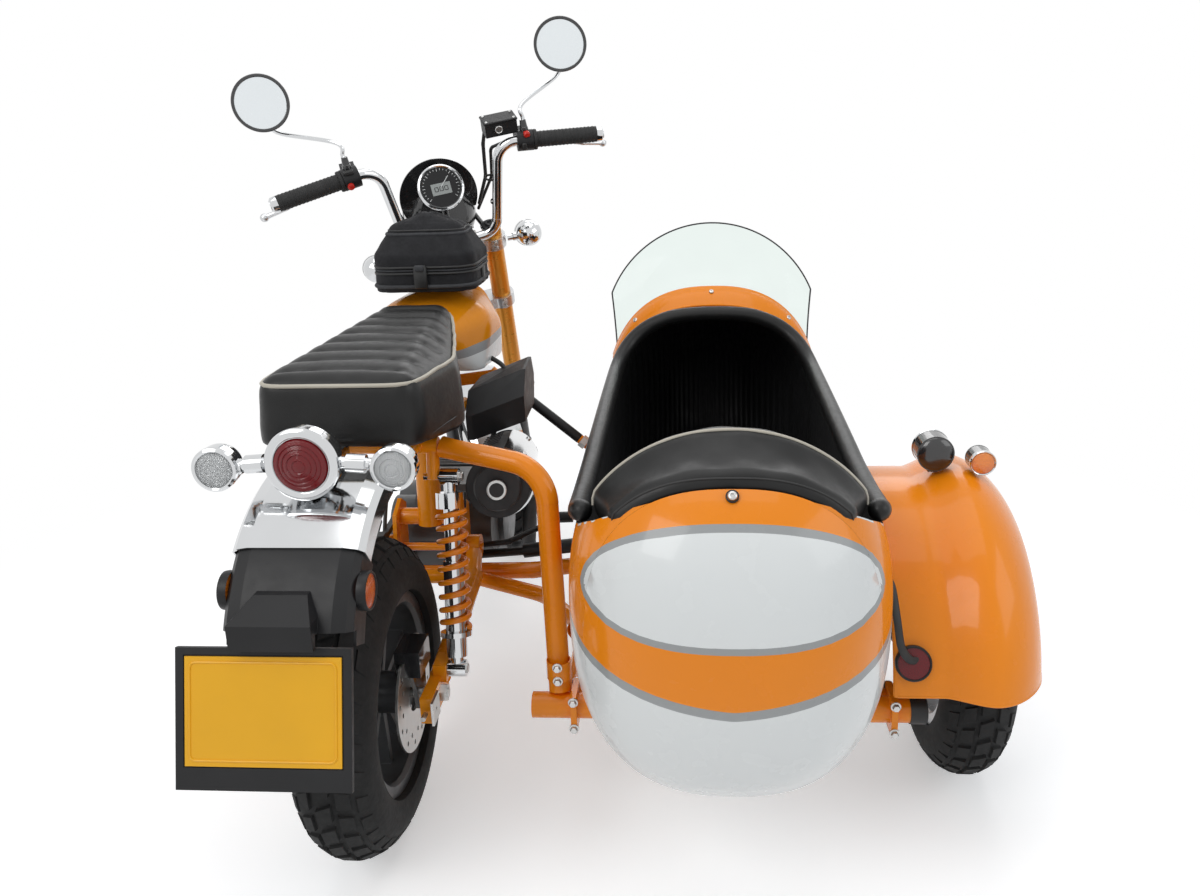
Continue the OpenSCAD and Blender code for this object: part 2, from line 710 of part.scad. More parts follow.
car_n = 2.5;
function super(a, n) = sign(a) * pow(abs(a), 2 / n);
function tail_s(y) = pow(1 - pow(min(1, (tail_start - y) / tail_len), 2.5), 0.4);
function nose_s(y) = pow(1 - pow(min(1, (y - nose_start) / nose_len), 2.1), 0.62);
function car_s(y) = y < tail_start ? tail_s(y) : y > nose_start ? nose_s(y) : 1;
nose_drop = 35;
function car_zc(y) = car_middle - (y > nose_start ? nose_drop * (y - nose_start) / nose_len : 0);

// Body section at y, shrunk all round by the wall
function car_outline(y, wall) = let (s = car_s(y), w = car_half_w * s - wall, zc = car_zc(y),
    up = (car_top - car_middle) * s - wall, down = (car_middle - car_bottom) * s - wall)
    [for (k = [0 : 43]) let (a = 360 * k / 44, c = cos(a), q = sin(a))
        [w * super(c, car_n), zc + (q > 0 ? up : down) * super(q, car_n)]];

tail_steps = [0.994, 0.97, 0.91, 0.82, 0.7, 0.56, 0.4, 0.22];
nose_steps = [0.14, 0.28, 0.42, 0.55, 0.67, 0.78, 0.87, 0.94, 0.985];
car_stations = concat([for (u = tail_steps) tail_start - tail_len * u], [tail_start, nose_start],
    [for (u = nose_steps) nose_start + nose_len * u]);

module car_slab(y, wall) {
    translate([0, y, 0]) rotate([90, 0, 0]) linear_extrude(0.2, center = true)
        polygon(car_outline(y, wall));
}

module car_solid(wall, first, last) {
    for (i = [first : last - 1]) hull() {
        car_slab(car_stations[i], wall);
        car_slab(car_stations[i + 1], wall);
    }
}

edge_rear = -185;
edge_low = 200;
edge_front = 690;
hoop_y = 860;
function edge_z(y) = cockpit_edge - edge_dip * max(0, (edge_front - y) / (edge_front - edge_low));
function hoop(t) = [edge_front + (hoop_y - edge_front) * sin(t),
    cockpit_edge + (car_top - cockpit_edge) * (1 - cos(t))];
cockpit_side = concat([[edge_rear, 900], [edge_rear, 664], [-168, 640], [-140, 620], [-90, 594], [-30, 572],
    [60, edge_z(edge_low) + 2], [edge_low, edge_z(edge_low)]],
    [for (t = [0 : 10 : 90]) hoop(t)], [[hoop_y, 900]]);

module sidecar_body() color(paint_orange) on_car() difference() {
    last = len(car_stations) - 1;
    union() {
        difference() {
            car_solid(0, 0, last);
            car_solid(car_wall, 2, last - 2);
        }
        intersection() {
            car_solid(1, 2, last - 2);
            block([0, 245, 288], [460, 450, 10]);
        }
    }
    side_plate(cockpit_side, -300, 300);
    rod([-400, 0, rail_z], [400, 0, rail_z], cross_d + 3);
    rod([-400, 440, rail_z], [400, 440, rail_z], 30.4);
}

// Half width of the body at height z
function car_x(y, z) = let (s = car_s(y), zc = car_zc(y),
    h = (z > zc ? car_top - car_middle : car_middle - car_bottom) * s)
    car_half_w * s * pow(max(0, 1 - pow(min(1, abs(z - zc) / h), car_n)), 1 / car_n);

coaming_r = 17;

// Centre of the padded roll on the cockpit's edge: t below 0 runs along the side, 0 to 90 round the hoop
function roll_at(y, z, ny, nz) = [car_x(y, z) - car_wall / 2, y + ny * (coaming_r + 0.5),
    z + nz * (coaming_r + 0.5)];
function hoop_roll(t) = let (h = hoop(t), v = unit([-(car_top - cockpit_edge) * sin(t),
    (hoop_y - edge_front) * cos(t)])) roll_at(h.x, h.y, v.x, v.y);
edge_path = concat([roll_at(-88, 594, 0.42, 0.95), roll_at(-40, 578, 0, 1), roll_at(14, 569, 0.1, 1), roll_at(62, 562.5, 0.04, 1)],
    [roll_at(110, edge_z(edge_low) + 2, 0, 1)],
    [for (y = [200, 445, edge_front]) roll_at(y, edge_z(max(y, edge_low)), 0, 1)],
    [for (t = [15 : 12 : 75]) hoop_roll(t)], [hoop_roll(82)],
    [[54, hoop_y - coaming_r - 1, 713], [0, hoop_y - coaming_r - 1, 715]]);

module cockpit_coaming() color(black) on_car()
    for (i = [0 : len(edge_path) - 2], side = [-1, 1]) hull() for (k = [0, 1]) {
        p = edge_path[i + k];
        translate([side * p.x, p.y, p.z]) sphere(r = coaming_r, $fn = 14);
    }

// Space taken by the body's wall, for pieces that sit on its edge
module car_shell_tool() {
    difference() {
        car_solid(-0.5, 3, len(car_stations) - 3);
        car_solid(car_wall + 0.5, 3, len(car_stations) - 3);
        side_plate(cockpit_side, -300, 300);
    }
}

back_rear = -156;
back_r = 24;
// Its rear roll lies 6 mm proud of the body it closes against
back_in = back_r - 6;

module seat_back() color(black) on_car() difference() {
    union() {
        for (i = [-5 : 4]) hull() for (k = [0, 1]) {
            a = (i + k) * 12.5;
            b = (i + k) * 8.4;
            s = car_s(back_rear);
            translate([172 * sin(a), -84, 622 + 72 * cos(a * 1.4)]) sphere(r = 42, $fn = 20);
            translate([(car_half_w * s - back_in) * super(sin(b), car_n), back_rear,
                car_middle + ((car_top - car_middle) * s - back_in) * super(cos(b), car_n)])
                sphere(r = back_r, $fn = 18);
        }
        hull() {
            translate([0, -20, 640]) cube([330, 30, 30], center = true);
            translate([0, 10, 420]) cube([340, 40, 30], center = true);
        }
    }
    car_shell_tool();
}

module sidecar_seat() color(black) on_car() hull() for (x = [-150, 150], y = [70, 420])
    translate([x, y, 296]) cylinder(h = 110, r = 36, $fn = 32);

// Point on the front hoop, a degrees from its top
function hoop_edge(a) = [car_x(hoop_y + 8, car_middle) * super(sin(a), car_n), hoop_y + 8 - 40 * (1 - cos(a)),
    car_middle + (car_top - car_middle + 4) * super(cos(a), car_n)];
cowl_span = 66;

module screen_cowl() color(paint_orange) on_car() for (i = [-8 : 7]) hull() for (k = [0, 1]) {
    a = (i + k) * cowl_span / 8;
    p = hoop_edge(a);
    translate(p + [0, 2, 3]) cube([3, 8, 4], center = true);
    translate(p + [16 * sin(a), 48, 10 + 30 * cos(a)]) cube([3, 6, 4], center = true);
}

module windscreen() color([0.8, 0.9, 0.92, 0.4]) on_car() for (i = [-8 : 7]) hull() for (k = [0, 1]) {
    a = (i + k) * 68 / 8;
    p = hoop_edge(a * 0.9);
    low = p + [12 * sin(a), 56, 22 * cos(a)];
    top = [238 * sin(a) / sin(68), 950 + 60 * cos(a), 742 + 160 * (cos(a) - cos(68)) / (1 - cos(68))];
    translate(low) cube([3, 4, 3], center = true);
    translate(top) cube([3, 4, 3], center = true);
}

arch_in = 252;
arch_out = side_track - car_offset + 84;
flange_r = 295;

// Fender profile as radius and x: flat inner flange, step up to the crown, round outer skirt
arch = [[flange_r - 6, arch_in], [flange_r, arch_in + 6], [flange_r, 333], [300, 348], [308, 366], [315, 384],
    [318, 402], [314, 421], [304, 440], [291, 456], [273, 472], [250, 486], [222, arch_out]];

function inset(p, t) = [for (i = [0 : len(p) - 1]) let (a = p[max(0, i - 1)],
    b = p[min(len(p) - 1, i + 1)], d = (b - a) / norm(b - a)) p[i] + t * [-d.y, d.x]];

module fender_ring(line, from, to, low) {
    rotate([0, 90, 0]) rotate_extrude() polygon(concat([[low, from]], line, [[low, to]]));
}

module sidecar_fender() color(paint_orange) on_car() difference() {
    translate([0, side_lead, front_tyre_r]) difference() {
        fender_ring(arch, arch_in, arch_out, 60);
        fender_ring(concat([[flange_r - 10, arch_in - 10]], [for (i = [2 : len(arch) - 1]) inset(arch, 5)[i]]),
            arch_in - 10, arch_out - 5, 40);
        translate([arch_out - 20, 0, 0]) rotate([0, 90, 0]) cylinder(h = 60, r = 205);
    }
    block([380, side_lead, 0], [600, 900, 580]);
}

// Black lamp and amber signal on the fender, and a round reflector behind
module fender_lamps() color(black) on_car() {
    translate([358, side_lead - 13, 594]) {
        block([0, 0, -28], [16, 12, 18]);
        rotate([90, 0, 0]) translate([0, 0, -20]) {
            cylinder(h = 30, r = 27);
            translate([0, 0, 5]) cylinder(h = 36, r = 31);
        }
    }
    translate([432, side_lead - 33, 583]) {
        block([0, 0, -20], [14, 10, 6]);
        rotate([90, 0, 0]) cylinder(h = 34, r = 21, center = true);
    }
    translate([281, side_lead, front_tyre_r]) rotate([-19, 0, 0]) translate([0, -flange_r - 0.3, 0])
        rotate([90, 0, 0]) cylinder(h = 8, r = 27);
}

module side_axle() color(graphite) on_car() {
    x = side_track - car_offset;
    rod([rail_right + 20, 440, rail_z], [rail_right + 70, 440, rail_z], 44);
    bent_tube([[rail_right + 52, 440, rail_z], [rail_right + 64, 300, 232], [rail_right + 66, side_lead,
        front_tyre_r]], 40, 60);
    rod([rail_right + 60, side_lead, front_tyre_r], [x + 58, side_lead, front_tyre_r], 2 * hub_bore_r);
    rod([rail_right + 60, side_lead, front_tyre_r], [x - 54, side_lead, front_tyre_r], 46);
    rod([x + 53, side_lead, front_tyre_r], [x + 62, side_lead, front_tyre_r], 30);
}

frame();
engine();
side_covers();
exhaust();
heat_shield();
fuel_tank();
tank_bag();
seat();
swingarm();
rear_axle();
chain_guard();
shock_absorbers();
shock_springs();
rear_caliper();
rear_fender();
fender_extension();
plate_frame();
number_plate();
lamp_housings();
tail_lens();
signal_lenses();
side_reflectors();
foot_pegs();
fork_tubes();
fork_sliders();
fork_clamps();
handlebar();
grips();
levers();
switchgear();
mirrors();
headlight();
meter();
front_signals();
front_fender();
front_caliper();
control_cables();
front_rim();
front_tyre();
front_disc();
rear_rim();
rear_tyre();
rear_disc();
side_rim();
side_tyre();
sidecar_chassis();
bike_mounts();
sidecar_body();
cockpit_coaming();
seat_back();
sidecar_seat();
screen_cowl();
windscreen();
sidecar_fender();
fender_lamps();
side_axle();
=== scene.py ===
"""Looks of the sidecar motorcycle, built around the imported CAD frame."""
import json
from itertools import product
from math import asin, atan2, copysign, cos, degrees, hypot, pi, radians, sin

import bmesh
import bpy
import numpy as np
from mathutils import Matrix, Vector


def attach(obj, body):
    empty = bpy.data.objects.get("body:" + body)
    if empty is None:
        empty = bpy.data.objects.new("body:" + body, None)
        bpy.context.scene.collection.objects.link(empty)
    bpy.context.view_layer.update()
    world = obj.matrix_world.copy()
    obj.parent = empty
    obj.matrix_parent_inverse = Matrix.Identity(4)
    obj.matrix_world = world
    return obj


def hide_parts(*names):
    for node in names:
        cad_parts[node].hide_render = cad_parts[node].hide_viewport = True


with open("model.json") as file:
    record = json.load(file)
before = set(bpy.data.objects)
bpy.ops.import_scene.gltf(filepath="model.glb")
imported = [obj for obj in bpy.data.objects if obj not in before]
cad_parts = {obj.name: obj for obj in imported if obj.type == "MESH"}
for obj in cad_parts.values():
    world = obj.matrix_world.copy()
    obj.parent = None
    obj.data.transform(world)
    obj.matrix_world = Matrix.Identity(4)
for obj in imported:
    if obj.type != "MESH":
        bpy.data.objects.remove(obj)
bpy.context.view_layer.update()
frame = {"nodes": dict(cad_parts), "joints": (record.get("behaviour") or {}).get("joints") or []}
NODES = frame["nodes"]
JOINTS = {j["name"]: j for j in frame["joints"]}


def vec(*v):
    return np.array(v, float)


def unit(v):
    return v / np.linalg.norm(v)


# ---- Places. Each space takes millimetres in its own axes to metres in the shared frame ----

def space(origin, x=(1, 0, 0), y=(0, 1, 0), z=(0, 0, 1)):
    m = np.eye(4)
    for i, axis in enumerate((x, y, z)):
        m[:3, i] = np.array(axis) / 1000
    m[:3, 3] = origin
    return m


REAR_HUB, SIDE_HUB, FRONT_HUB = (
    np.array(JOINTS[wheel + "_wheel_spin"]["pos_m"]) for wheel in ("rear", "side", "front"))
UP = np.array(JOINTS["steer"]["axis"])
RIGHT = np.array(JOINTS["front_wheel_spin"]["axis"])
AHEAD = np.cross(UP, RIGHT)
SIDE_X = 412  # from the sidecar's middle to its wheel
STEER_UP = 0.868  # from the fork's zero to the steering joint, in metres

BIKE = space((REAR_HUB[0], REAR_HUB[1], 0))
CAR = space((SIDE_HUB[0] - SIDE_X / 1000, REAR_HUB[1], 0))
FORK = space(np.array(JOINTS["steer"]["pos_m"]) - UP * STEER_UP, RIGHT, AHEAD, UP)
REAR = space(REAR_HUB)
SIDE = space(SIDE_HUB)
FRONT = space(FRONT_HUB, RIGHT, AHEAD, UP)

# ---- Camera, lights and floor ----

EYE = (523.9, -1412.8, 1159.0)
YAW, PITCH, ROLL = radians(4.6), radians(16.46), radians(-1.85)
LENS = 29.886
SHIFT = (-0.0095, -0.033)
FLOOR_SIZE, FLOOR_DROP = 40, 0.0005
FADE_FROM, FADE_TO = 0.9, 1.9  # where the floor's shade gives way to plain white
LAMPS = [  # name, place, aim, size, watts, colour
    ("key", (-2.6, -3.4, 3.8), (0, 0, 0.4), (2.6, 2.6), 84, (1, 0.99, 0.975)),
    ("fill", (3.8, -1.8, 2.6), (0, 0, 0.5), (3.0, 2.4), 36, (0.98, 0.99, 1)),
    ("back", (0.4, 4.2, 3.4), (0, 0, 0.5), (4.0, 2.0), 55, (1, 1, 1)),
    ("top", (0, 0, 4.6), (0, 0, 0), (3.4, 3.4), 44, (1, 1, 1)),
]
PURE_WHITE = (1, 1, 1, 1)


def put(name, data):
    obj = bpy.data.objects.new(name, data)
    bpy.context.scene.collection.objects.link(obj)
    return obj


def add_camera():
    ahead = Vector((-sin(YAW) * cos(PITCH), cos(YAW) * cos(PITCH), -sin(PITCH)))
    right = Vector((cos(YAW), sin(YAW), 0))
    up = right.cross(ahead)
    right, up = right * cos(ROLL) + up * sin(ROLL), up * cos(ROLL) - right * sin(ROLL)
    data = bpy.data.cameras.new("camera")
    data.sensor_width = 36
    data.lens = LENS
    data.shift_x, data.shift_y = SHIFT
    data.clip_end = 60
    camera = put("camera", data)
    at = Vector(BIKE[:3, :3] @ np.array(EYE) + BIKE[:3, 3])
    camera.matrix_world = Matrix.Translation(at) @ Matrix((right, up, -ahead)).transposed().to_4x4()
    bpy.context.scene.camera = camera


def add_lamps():
    for name, at, aim, size, watts, color in LAMPS:
        data = bpy.data.lights.new(name, "AREA")
        data.shape = "RECTANGLE"
        data.size, data.size_y = size
        data.energy = watts
        data.color = color
        lamp = put(name, data)
        lamp.location = at
        lamp.rotation_euler = (Vector(aim) - Vector(at)).to_track_quat("-Z", "Y").to_euler()


def feed(t, node, sockets):
    """Set a node's inputs, each to a value, to another node's output, or to another node's first output."""
    for key, value in sockets.items():
        if isinstance(value, bpy.types.Node):
            value = value.outputs[0]
        if isinstance(value, bpy.types.NodeSocket):
            t.links.new(value, node.inputs[key])
        else:
            node.inputs[key].default_value = value


def add_node(t, kind, sockets=None, **settings):
    node = t.nodes.new("ShaderNode" + kind)
    for name, value in settings.items():
        setattr(node, name, value)
    feed(t, node, sockets or {})
    return node


def empty_tree(owner):
    owner.use_nodes = True
    owner.node_tree.nodes.clear()
    return owner.node_tree


def seen_rays(t):
    """1 where a camera, glossy or transmission ray looks at the background, else 0."""
    paths = add_node(t, "LightPath").outputs
    total = paths["Is Camera Ray"]
    for ray in ("Is Glossy Ray", "Is Transmission Ray"):
        total = add_node(t, "Math", {0: total, 1: paths[ray]}, operation="MAXIMUM")
    return total


def add_world():
    world = bpy.data.worlds.new("studio")
    bpy.context.scene.world = world
    t = empty_tree(world)
    lit = add_node(t, "Background", {"Color": (0.86, 0.9, 0.95, 1), "Strength": 0.42})
    shown = add_node(t, "Background", {"Color": PURE_WHITE})
    add_node(t, "OutputWorld", {0: add_node(t, "MixShader", {0: seen_rays(t), 1: lit, 2: shown})})


def add_floor():
    """Floor that is raised towards white where it is seen, keeps its shade near the wheels, and ends in pure white."""
    bpy.ops.mesh.primitive_plane_add(size=FLOOR_SIZE, location=(0, 0, -FLOOR_DROP))
    floor = bpy.context.object
    floor.name = "floor"
    m = bpy.data.materials.new("floor")
    t = empty_tree(m)
    seen = seen_rays(t)
    diffuse = add_node(t, "BsdfDiffuse", {"Color": (0.9, 0.9, 0.9, 1)})
    lift, white = (add_node(t, "Emission", {"Color": PURE_WHITE, "Strength": s}) for s in (0.4, 1.0))
    near = add_node(t, "MixShader", {0: seen, 1: diffuse, 2: add_node(t, "AddShader", {0: diffuse, 1: lift})})
    reach = add_node(t, "VectorMath", {0: add_node(t, "TexCoord").outputs["Object"]}, operation="LENGTH")
    away = add_node(t, "MapRange", {"From Min": FADE_FROM, "From Max": FADE_TO, "Value": reach.outputs["Value"]},
                    interpolation_type="SMOOTHSTEP")
    far = add_node(t, "Math", {0: away, 1: seen}, operation="MULTIPLY")
    add_node(t, "OutputMaterial", {0: add_node(t, "MixShader", {0: far, 1: near, 2: white})})
    floor.data.materials.append(m)


# ---- Materials ----

def surface(name, color, metallic=0.0, rough=0.4, vary=0.06, spread=0.07, size=11.0, bump=None, edge=0.0,
            second=None, **sockets):
    """Node material: colour, roughness and relief each vary in the object's own coordinates. A grey is one number."""
    m = bpy.data.materials.new(name)
    m.use_nodes = True
    t = m.node_tree
    here = add_node(t, "TexCoord").outputs["Object"]
    tone = add_node(t, "TexNoise", {"Scale": size, "Detail": 6, "Vector": here})
    ramp = add_node(t, "ValToRGB", {"Fac": tone})
    color = color if isinstance(color, tuple) else (color,) * 3
    tones = second or ([c * (1 - vary) for c in color], [min(1, c * (1 + vary)) for c in color])
    for stop, position, shade in zip(ramp.color_ramp.elements, (0.3, 0.7), tones):
        stop.position, stop.color = position, (*shade, 1)
    wear = add_node(t, "TexNoise", {"Scale": size * 4.3, "Detail": 8, "Vector": here})
    span = add_node(t, "MapRange", {"From Min": 0.25, "From Max": 0.75, "To Min": max(0.02, rough - spread),
                                    "To Max": min(1, rough + spread), "Value": wear})
    normal = {"Normal": add_node(t, "Bevel", {"Radius": edge}, samples=4)} if edge else {}
    if bump:
        kind, scale, depth = bump
        normal["Height"] = height(t, here, kind, scale)
        normal = {"Normal": add_node(t, "Bump", {"Distance": depth, "Strength": 0.8, **normal})}
    more = {socket.replace("_", " "): value for socket, value in sockets.items()}
    feed(t, t.nodes["Principled BSDF"],
         {"Base Color": ramp, "Roughness": span, "Metallic": metallic, **more, **normal})
    return m


def height(t, here, kind, scale):
    """Relief of one kind: noise, grain, cells, weave or ribs."""
    if kind == "noise":
        return add_node(t, "TexNoise", {"Scale": scale, "Detail": 10, "Vector": here})
    if kind == "grain":
        return add_node(t, "TexVoronoi", {"Scale": scale, "Vector": here}, feature="DISTANCE_TO_EDGE")
    if kind == "cells":
        return add_node(t, "TexVoronoi", {"Scale": scale, "Vector": here})
    if kind == "ribs":
        return add_node(t, "TexWave", {"Scale": scale, "Vector": here}, bands_direction="X").outputs["Fac"]
    across, down = (add_node(t, "TexWave", {"Scale": scale, "Distortion": 0.6, "Vector": here},
                             bands_direction=way).outputs["Fac"] for way in "XZ")
    return add_node(t, "Math", {0: across, 1: down}, operation="MULTIPLY")


def paint(name, color, **more):
    return surface(name, color, rough=0.26, vary=0.025, spread=0.05, size=5, bump=("noise", 260, 0.00006),
                   Coat_Weight=0.3, Coat_Roughness=0.04, Specular_IOR_Level=0.2, **more)


def banded_paint(name, bands):
    """Gloss paint whose colour follows the mesh's "band" value: bands is [(upper limit, colour), ...]."""
    m = paint(name, bands[0][1])
    t = m.node_tree
    ramp = add_node(t, "ValToRGB", {"Fac": add_node(t, "Attribute", attribute_name="band").outputs["Fac"]})
    ramp.color_ramp.interpolation = "CONSTANT"
    stops = ramp.color_ramp.elements
    stops[0].position, stops[0].color = 0, (*bands[0][1], 1)
    stops.remove(stops[1])
    for (start, _), (_, color) in zip(bands[:-1], bands[1:]):
        stops.new(start).color = (*color, 1)
    shade = add_node(t, "MapRange", {"To Min": 0.985, "To Max": 1.01, "Value": add_node(t, "TexNoise", {"Scale": 6})})
    tinted = add_node(t, "VectorMath", {0: ramp, "Scale": shade}, operation="SCALE")
    feed(t, t.nodes["Principled BSDF"], {"Base Color": tinted})
    return m


ORANGE = (0.93, 0.27, 0.006)
YELLOW = (0.93, 0.32, 0.008)
WHITE = (0.82, 0.84, 0.83)
SILVER = (0.36, 0.37, 0.37)
# The shell's "band" value: the stripe's middle is STRIPE, the lens starts at LENS_EDGE, and 1 stands for BAND_MM.
STRIPE, LENS_EDGE, BAND_MM = 0.28, 0.72, 300
CAR_BANDS = [(STRIPE - 7 / BAND_MM, WHITE), (STRIPE + 7 / BAND_MM, SILVER), (LENS_EDGE - 9 / BAND_MM, ORANGE),
             (LENS_EDGE, SILVER), (1, WHITE)]
TANK_BANDS = [(0.44, WHITE), (0.56, SILVER), (1, YELLOW)]

M = {
    "shell": banded_paint("sidecar_paint", CAR_BANDS),
    "tank": banded_paint("tank_paint", TANK_BANDS),
    "orange": paint("orange_paint", ORANGE, edge=0.0012),
    "yellow": paint("amber_paint", YELLOW, edge=0.0012),
    "chrome": surface("chrome", (0.64, 0.65, 0.66), 1, 0.09, vary=0.03, spread=0.02, size=6),
    "silver": surface("cast_silver", (0.62, 0.63, 0.64), 0.9, 0.3, bump=("noise", 420, 0.0001), edge=0.001),
    "steel": surface("zinc_steel", (0.55, 0.55, 0.54), 1, 0.32, bump=("noise", 300, 0.00008), edge=0.0006),
    "gold": surface("anodised_gold", (0.80, 0.34, 0.03), 0.35, 0.3, vary=0.03),
    "satin": surface("black_satin", (0.011, 0.011, 0.012), 0, 0.42, vary=0.2, bump=("noise", 600, 0.0001),
                     edge=0.0012, Specular_IOR_Level=0.3),
    "plastic": surface("black_plastic", (0.014, 0.014, 0.015), 0, 0.48, vary=0.15, bump=("grain", 900, 0.00012),
                       edge=0.0015, Specular_IOR_Level=0.3),
    "gloss": surface("black_gloss", (0.016, 0.016, 0.017), 0, 0.2, vary=0.2, edge=0.001, Coat_Weight=0.7),
    "heatproof": surface("black_heatproof", (0.02, 0.02, 0.021), 0.2, 0.55, bump=("noise", 500, 0.00015),
                         edge=0.001),
    "graphite": surface("graphite_cast", (0.085, 0.087, 0.09), 0.6, 0.42, bump=("noise", 380, 0.00018),
                        edge=0.0015),
    "rubber": surface("tyre_rubber", 0.014, 0, 0.78, vary=0.25, size=30,
                      bump=("noise", 240, 0.0004), edge=0.001, Specular_IOR_Level=0.3),
    "hose": surface("hose_rubber", 0.015, 0, 0.6, vary=0.2, bump=("noise", 500, 0.0001)),
    "grip": surface("grip_rubber", 0.014, 0, 0.72, bump=("cells", 420, 0.0008)),
    "leather": surface("black_leather", 0.010, 0, 0.38, vary=0.18, size=24,
                       bump=("grain", 420, 0.0002), Specular_IOR_Level=0.3),
    "lining": surface("ribbed_lining", (0.008, 0.008, 0.009), 0, 0.6, vary=0.3, bump=("ribs", 24, 0.003)),
    "carpet": surface("floor_carpet", (0.012, 0.012, 0.013), 0, 0.95, vary=0.3, bump=("noise", 900, 0.0012)),
    "piping": surface("cream_piping", (0.52, 0.48, 0.40), 0, 0.5, bump=("noise", 700, 0.0002)),
    "thread": surface("stitch_thread", (0.30, 0.29, 0.27), 0, 0.8, bump=("noise", 1500, 0.0002)),
    "fabric": surface("bag_nylon", (0.019, 0.019, 0.021), 0, 0.82, vary=0.25, size=40,
                      bump=("weave", 260, 0.0004), Specular_IOR_Level=0.25),
    "fabric_grey": surface("bag_panel", (0.045, 0.046, 0.05), 0, 0.85, vary=0.2, size=40,
                           bump=("weave", 230, 0.0004)),
    "plate": surface("plate_yellow", (0.86, 0.43, 0.006), 0, 0.38, vary=0.03, bump=("noise", 900, 0.00005)),
    "red_lens": surface("red_lens", (0.17, 0.002, 0.005), 0, 0.12, bump=("grain", 330, 0.0005),
                        Coat_Weight=0.3, Specular_IOR_Level=0.3),
    "reflector": surface("red_reflector", (0.16, 0.004, 0.008), 0, 0.2, bump=("cells", 520, 0.0006),
                         Coat_Weight=0.2, Specular_IOR_Level=0.3),
    "amber": surface("amber_lens", (0.85, 0.16, 0.006), 0, 0.15, bump=("cells", 380, 0.0008), Coat_Weight=1.0,
                     second=((0.55, 0.06, 0.004), (0.98, 0.30, 0.02))),
    "clear": surface("clear_lens", (0.85, 0.86, 0.86), 0, 0.06, bump=("ribs", 120, 0.0006),
                     Transmission_Weight=0.6, IOR=1.3),
    "glass": surface("screen_glass", (0.84, 0.91, 0.88), 0, 0.03, vary=0.01, spread=0.015,
                     Transmission_Weight=1.0, IOR=1.12),
    "mirror": surface("mirror_glass", (0.78, 0.82, 0.84), 0.9, 0.04, vary=0.02, spread=0.01, size=4),
    "dial": surface("dial_face", (0.30, 0.32, 0.31), 0, 0.3, vary=0.06, Coat_Weight=1.0),
    "mark": surface("dial_mark", (0.75, 0.76, 0.75), 0, 0.4, bump=("noise", 800, 0.00005)),
    "red": surface("red_switch", (0.62, 0.02, 0.01), 0, 0.35, bump=("noise", 500, 0.0001)),
}


# ---- Shapes, as (points in millimetres, faces) ----

def grid(points, wrap_rows=False, wrap_columns=False):
    p = np.asarray(points, float)
    n, m = p.shape[:2]
    faces = []
    for i in range(n if wrap_rows else n - 1):
        for j in range(m if wrap_columns else m - 1):
            k, q = (i + 1) % n, (j + 1) % m
            faces.append((i * m + j, k * m + j, k * m + q, i * m + q))
    return p.reshape(-1, 3), faces


def smooth_line(points, per=8, closed=False):
    """Catmull-Rom line through the points."""
    p = np.asarray(points, float)
    n = len(p)
    out = []
    for i in range(n if closed else n - 1):
        a, b, c, d = (p[k % n] if closed else p[min(max(k, 0), n - 1)] for k in (i - 1, i, i + 1, i + 2))
        for s in range(per):
            u = s / per
            out.append(0.5 * (2 * b + (c - a) * u + (2 * a - 5 * b + 4 * c - d) * u * u
                              + (3 * b - a - 3 * c + d) * u ** 3))
    if not closed:
        out.append(p[-1])
    return np.array(out)


def tube(path, r, sides=14, closed=False, across=None):
    """Swept round bar. r is one radius or one for each point; across = (wide, tall) flattens it."""
    p = np.asarray(path, float)
    n = len(p)
    r = np.full(n, r, float) if np.isscalar(r) else np.asarray(r, float)
    ahead = np.roll(p, -1, 0) - np.roll(p, 1, 0) if closed else np.gradient(p, axis=0)
    ahead /= np.linalg.norm(ahead, axis=1)[:, None]
    side = np.cross(ahead[0], (0, 0, 1) if abs(ahead[0][2]) < 0.9 else (1, 0, 0))
    w, h = across or (1, 1)
    rows = []
    for i in range(n):
        side = unit(side - ahead[i] * side.dot(ahead[i]))
        top = np.cross(side, ahead[i])
        rows.append([p[i] + r[i] * (w * cos(a) * side + h * sin(a) * top)
                     for a in np.linspace(0, 2 * pi, sides, endpoint=False)])
    verts, faces = grid(rows, wrap_rows=closed, wrap_columns=True)
    if not closed:
        faces.append(tuple(range(sides)))
        faces.append(tuple(reversed(range((n - 1) * sides, n * sides))))
    return verts, faces


def turned(at, axis, profile, sides=48):
    """Lathe shape: profile is [(along the axis, radius), ...]."""
    axis = unit(axis)
    u = unit(np.cross(axis, (0, 0, 1) if abs(axis[2]) < 0.9 else (1, 0, 0)))
    v = np.cross(axis, u)
    rows = [[np.array(at) + axis * h + max(r, 0.001) * (cos(a) * u + sin(a) * v)
             for a in np.linspace(0, 2 * pi, sides, endpoint=False)] for h, r in profile]
    return grid(rows, wrap_columns=True)


def hull(points):
    """Convex shape round the points."""
    b = bmesh.new()
    for p in points:
        b.verts.new(p)
    made = bmesh.ops.convex_hull(b, input=b.verts)
    bmesh.ops.delete(b, geom=list({e for e in made["geom_interior"] + made["geom_unused"]
                                   if isinstance(e, bmesh.types.BMVert)}), context="VERTS")
    bmesh.ops.dissolve_limit(b, angle_limit=0.02, verts=b.verts, edges=b.edges)
    b.verts.index_update()
    shape = np.array([v.co[:] for v in b.verts]), [tuple(v.index for v in f.verts) for f in b.faces]
    b.free()
    return shape


def bar(at, size, bevel=2, axes=None):
    """Box with chamfered edges."""
    h = np.array(size, float) / 2
    axes = np.eye(3) if axes is None else np.array(axes, float)
    points = []
    for signs in product((-1, 1), repeat=3):
        for k in range(3):
            q = h - bevel
            q[k] = h[k]
            points.append(np.array(at) + (np.array(signs) * q) @ axes)
    return hull(points)


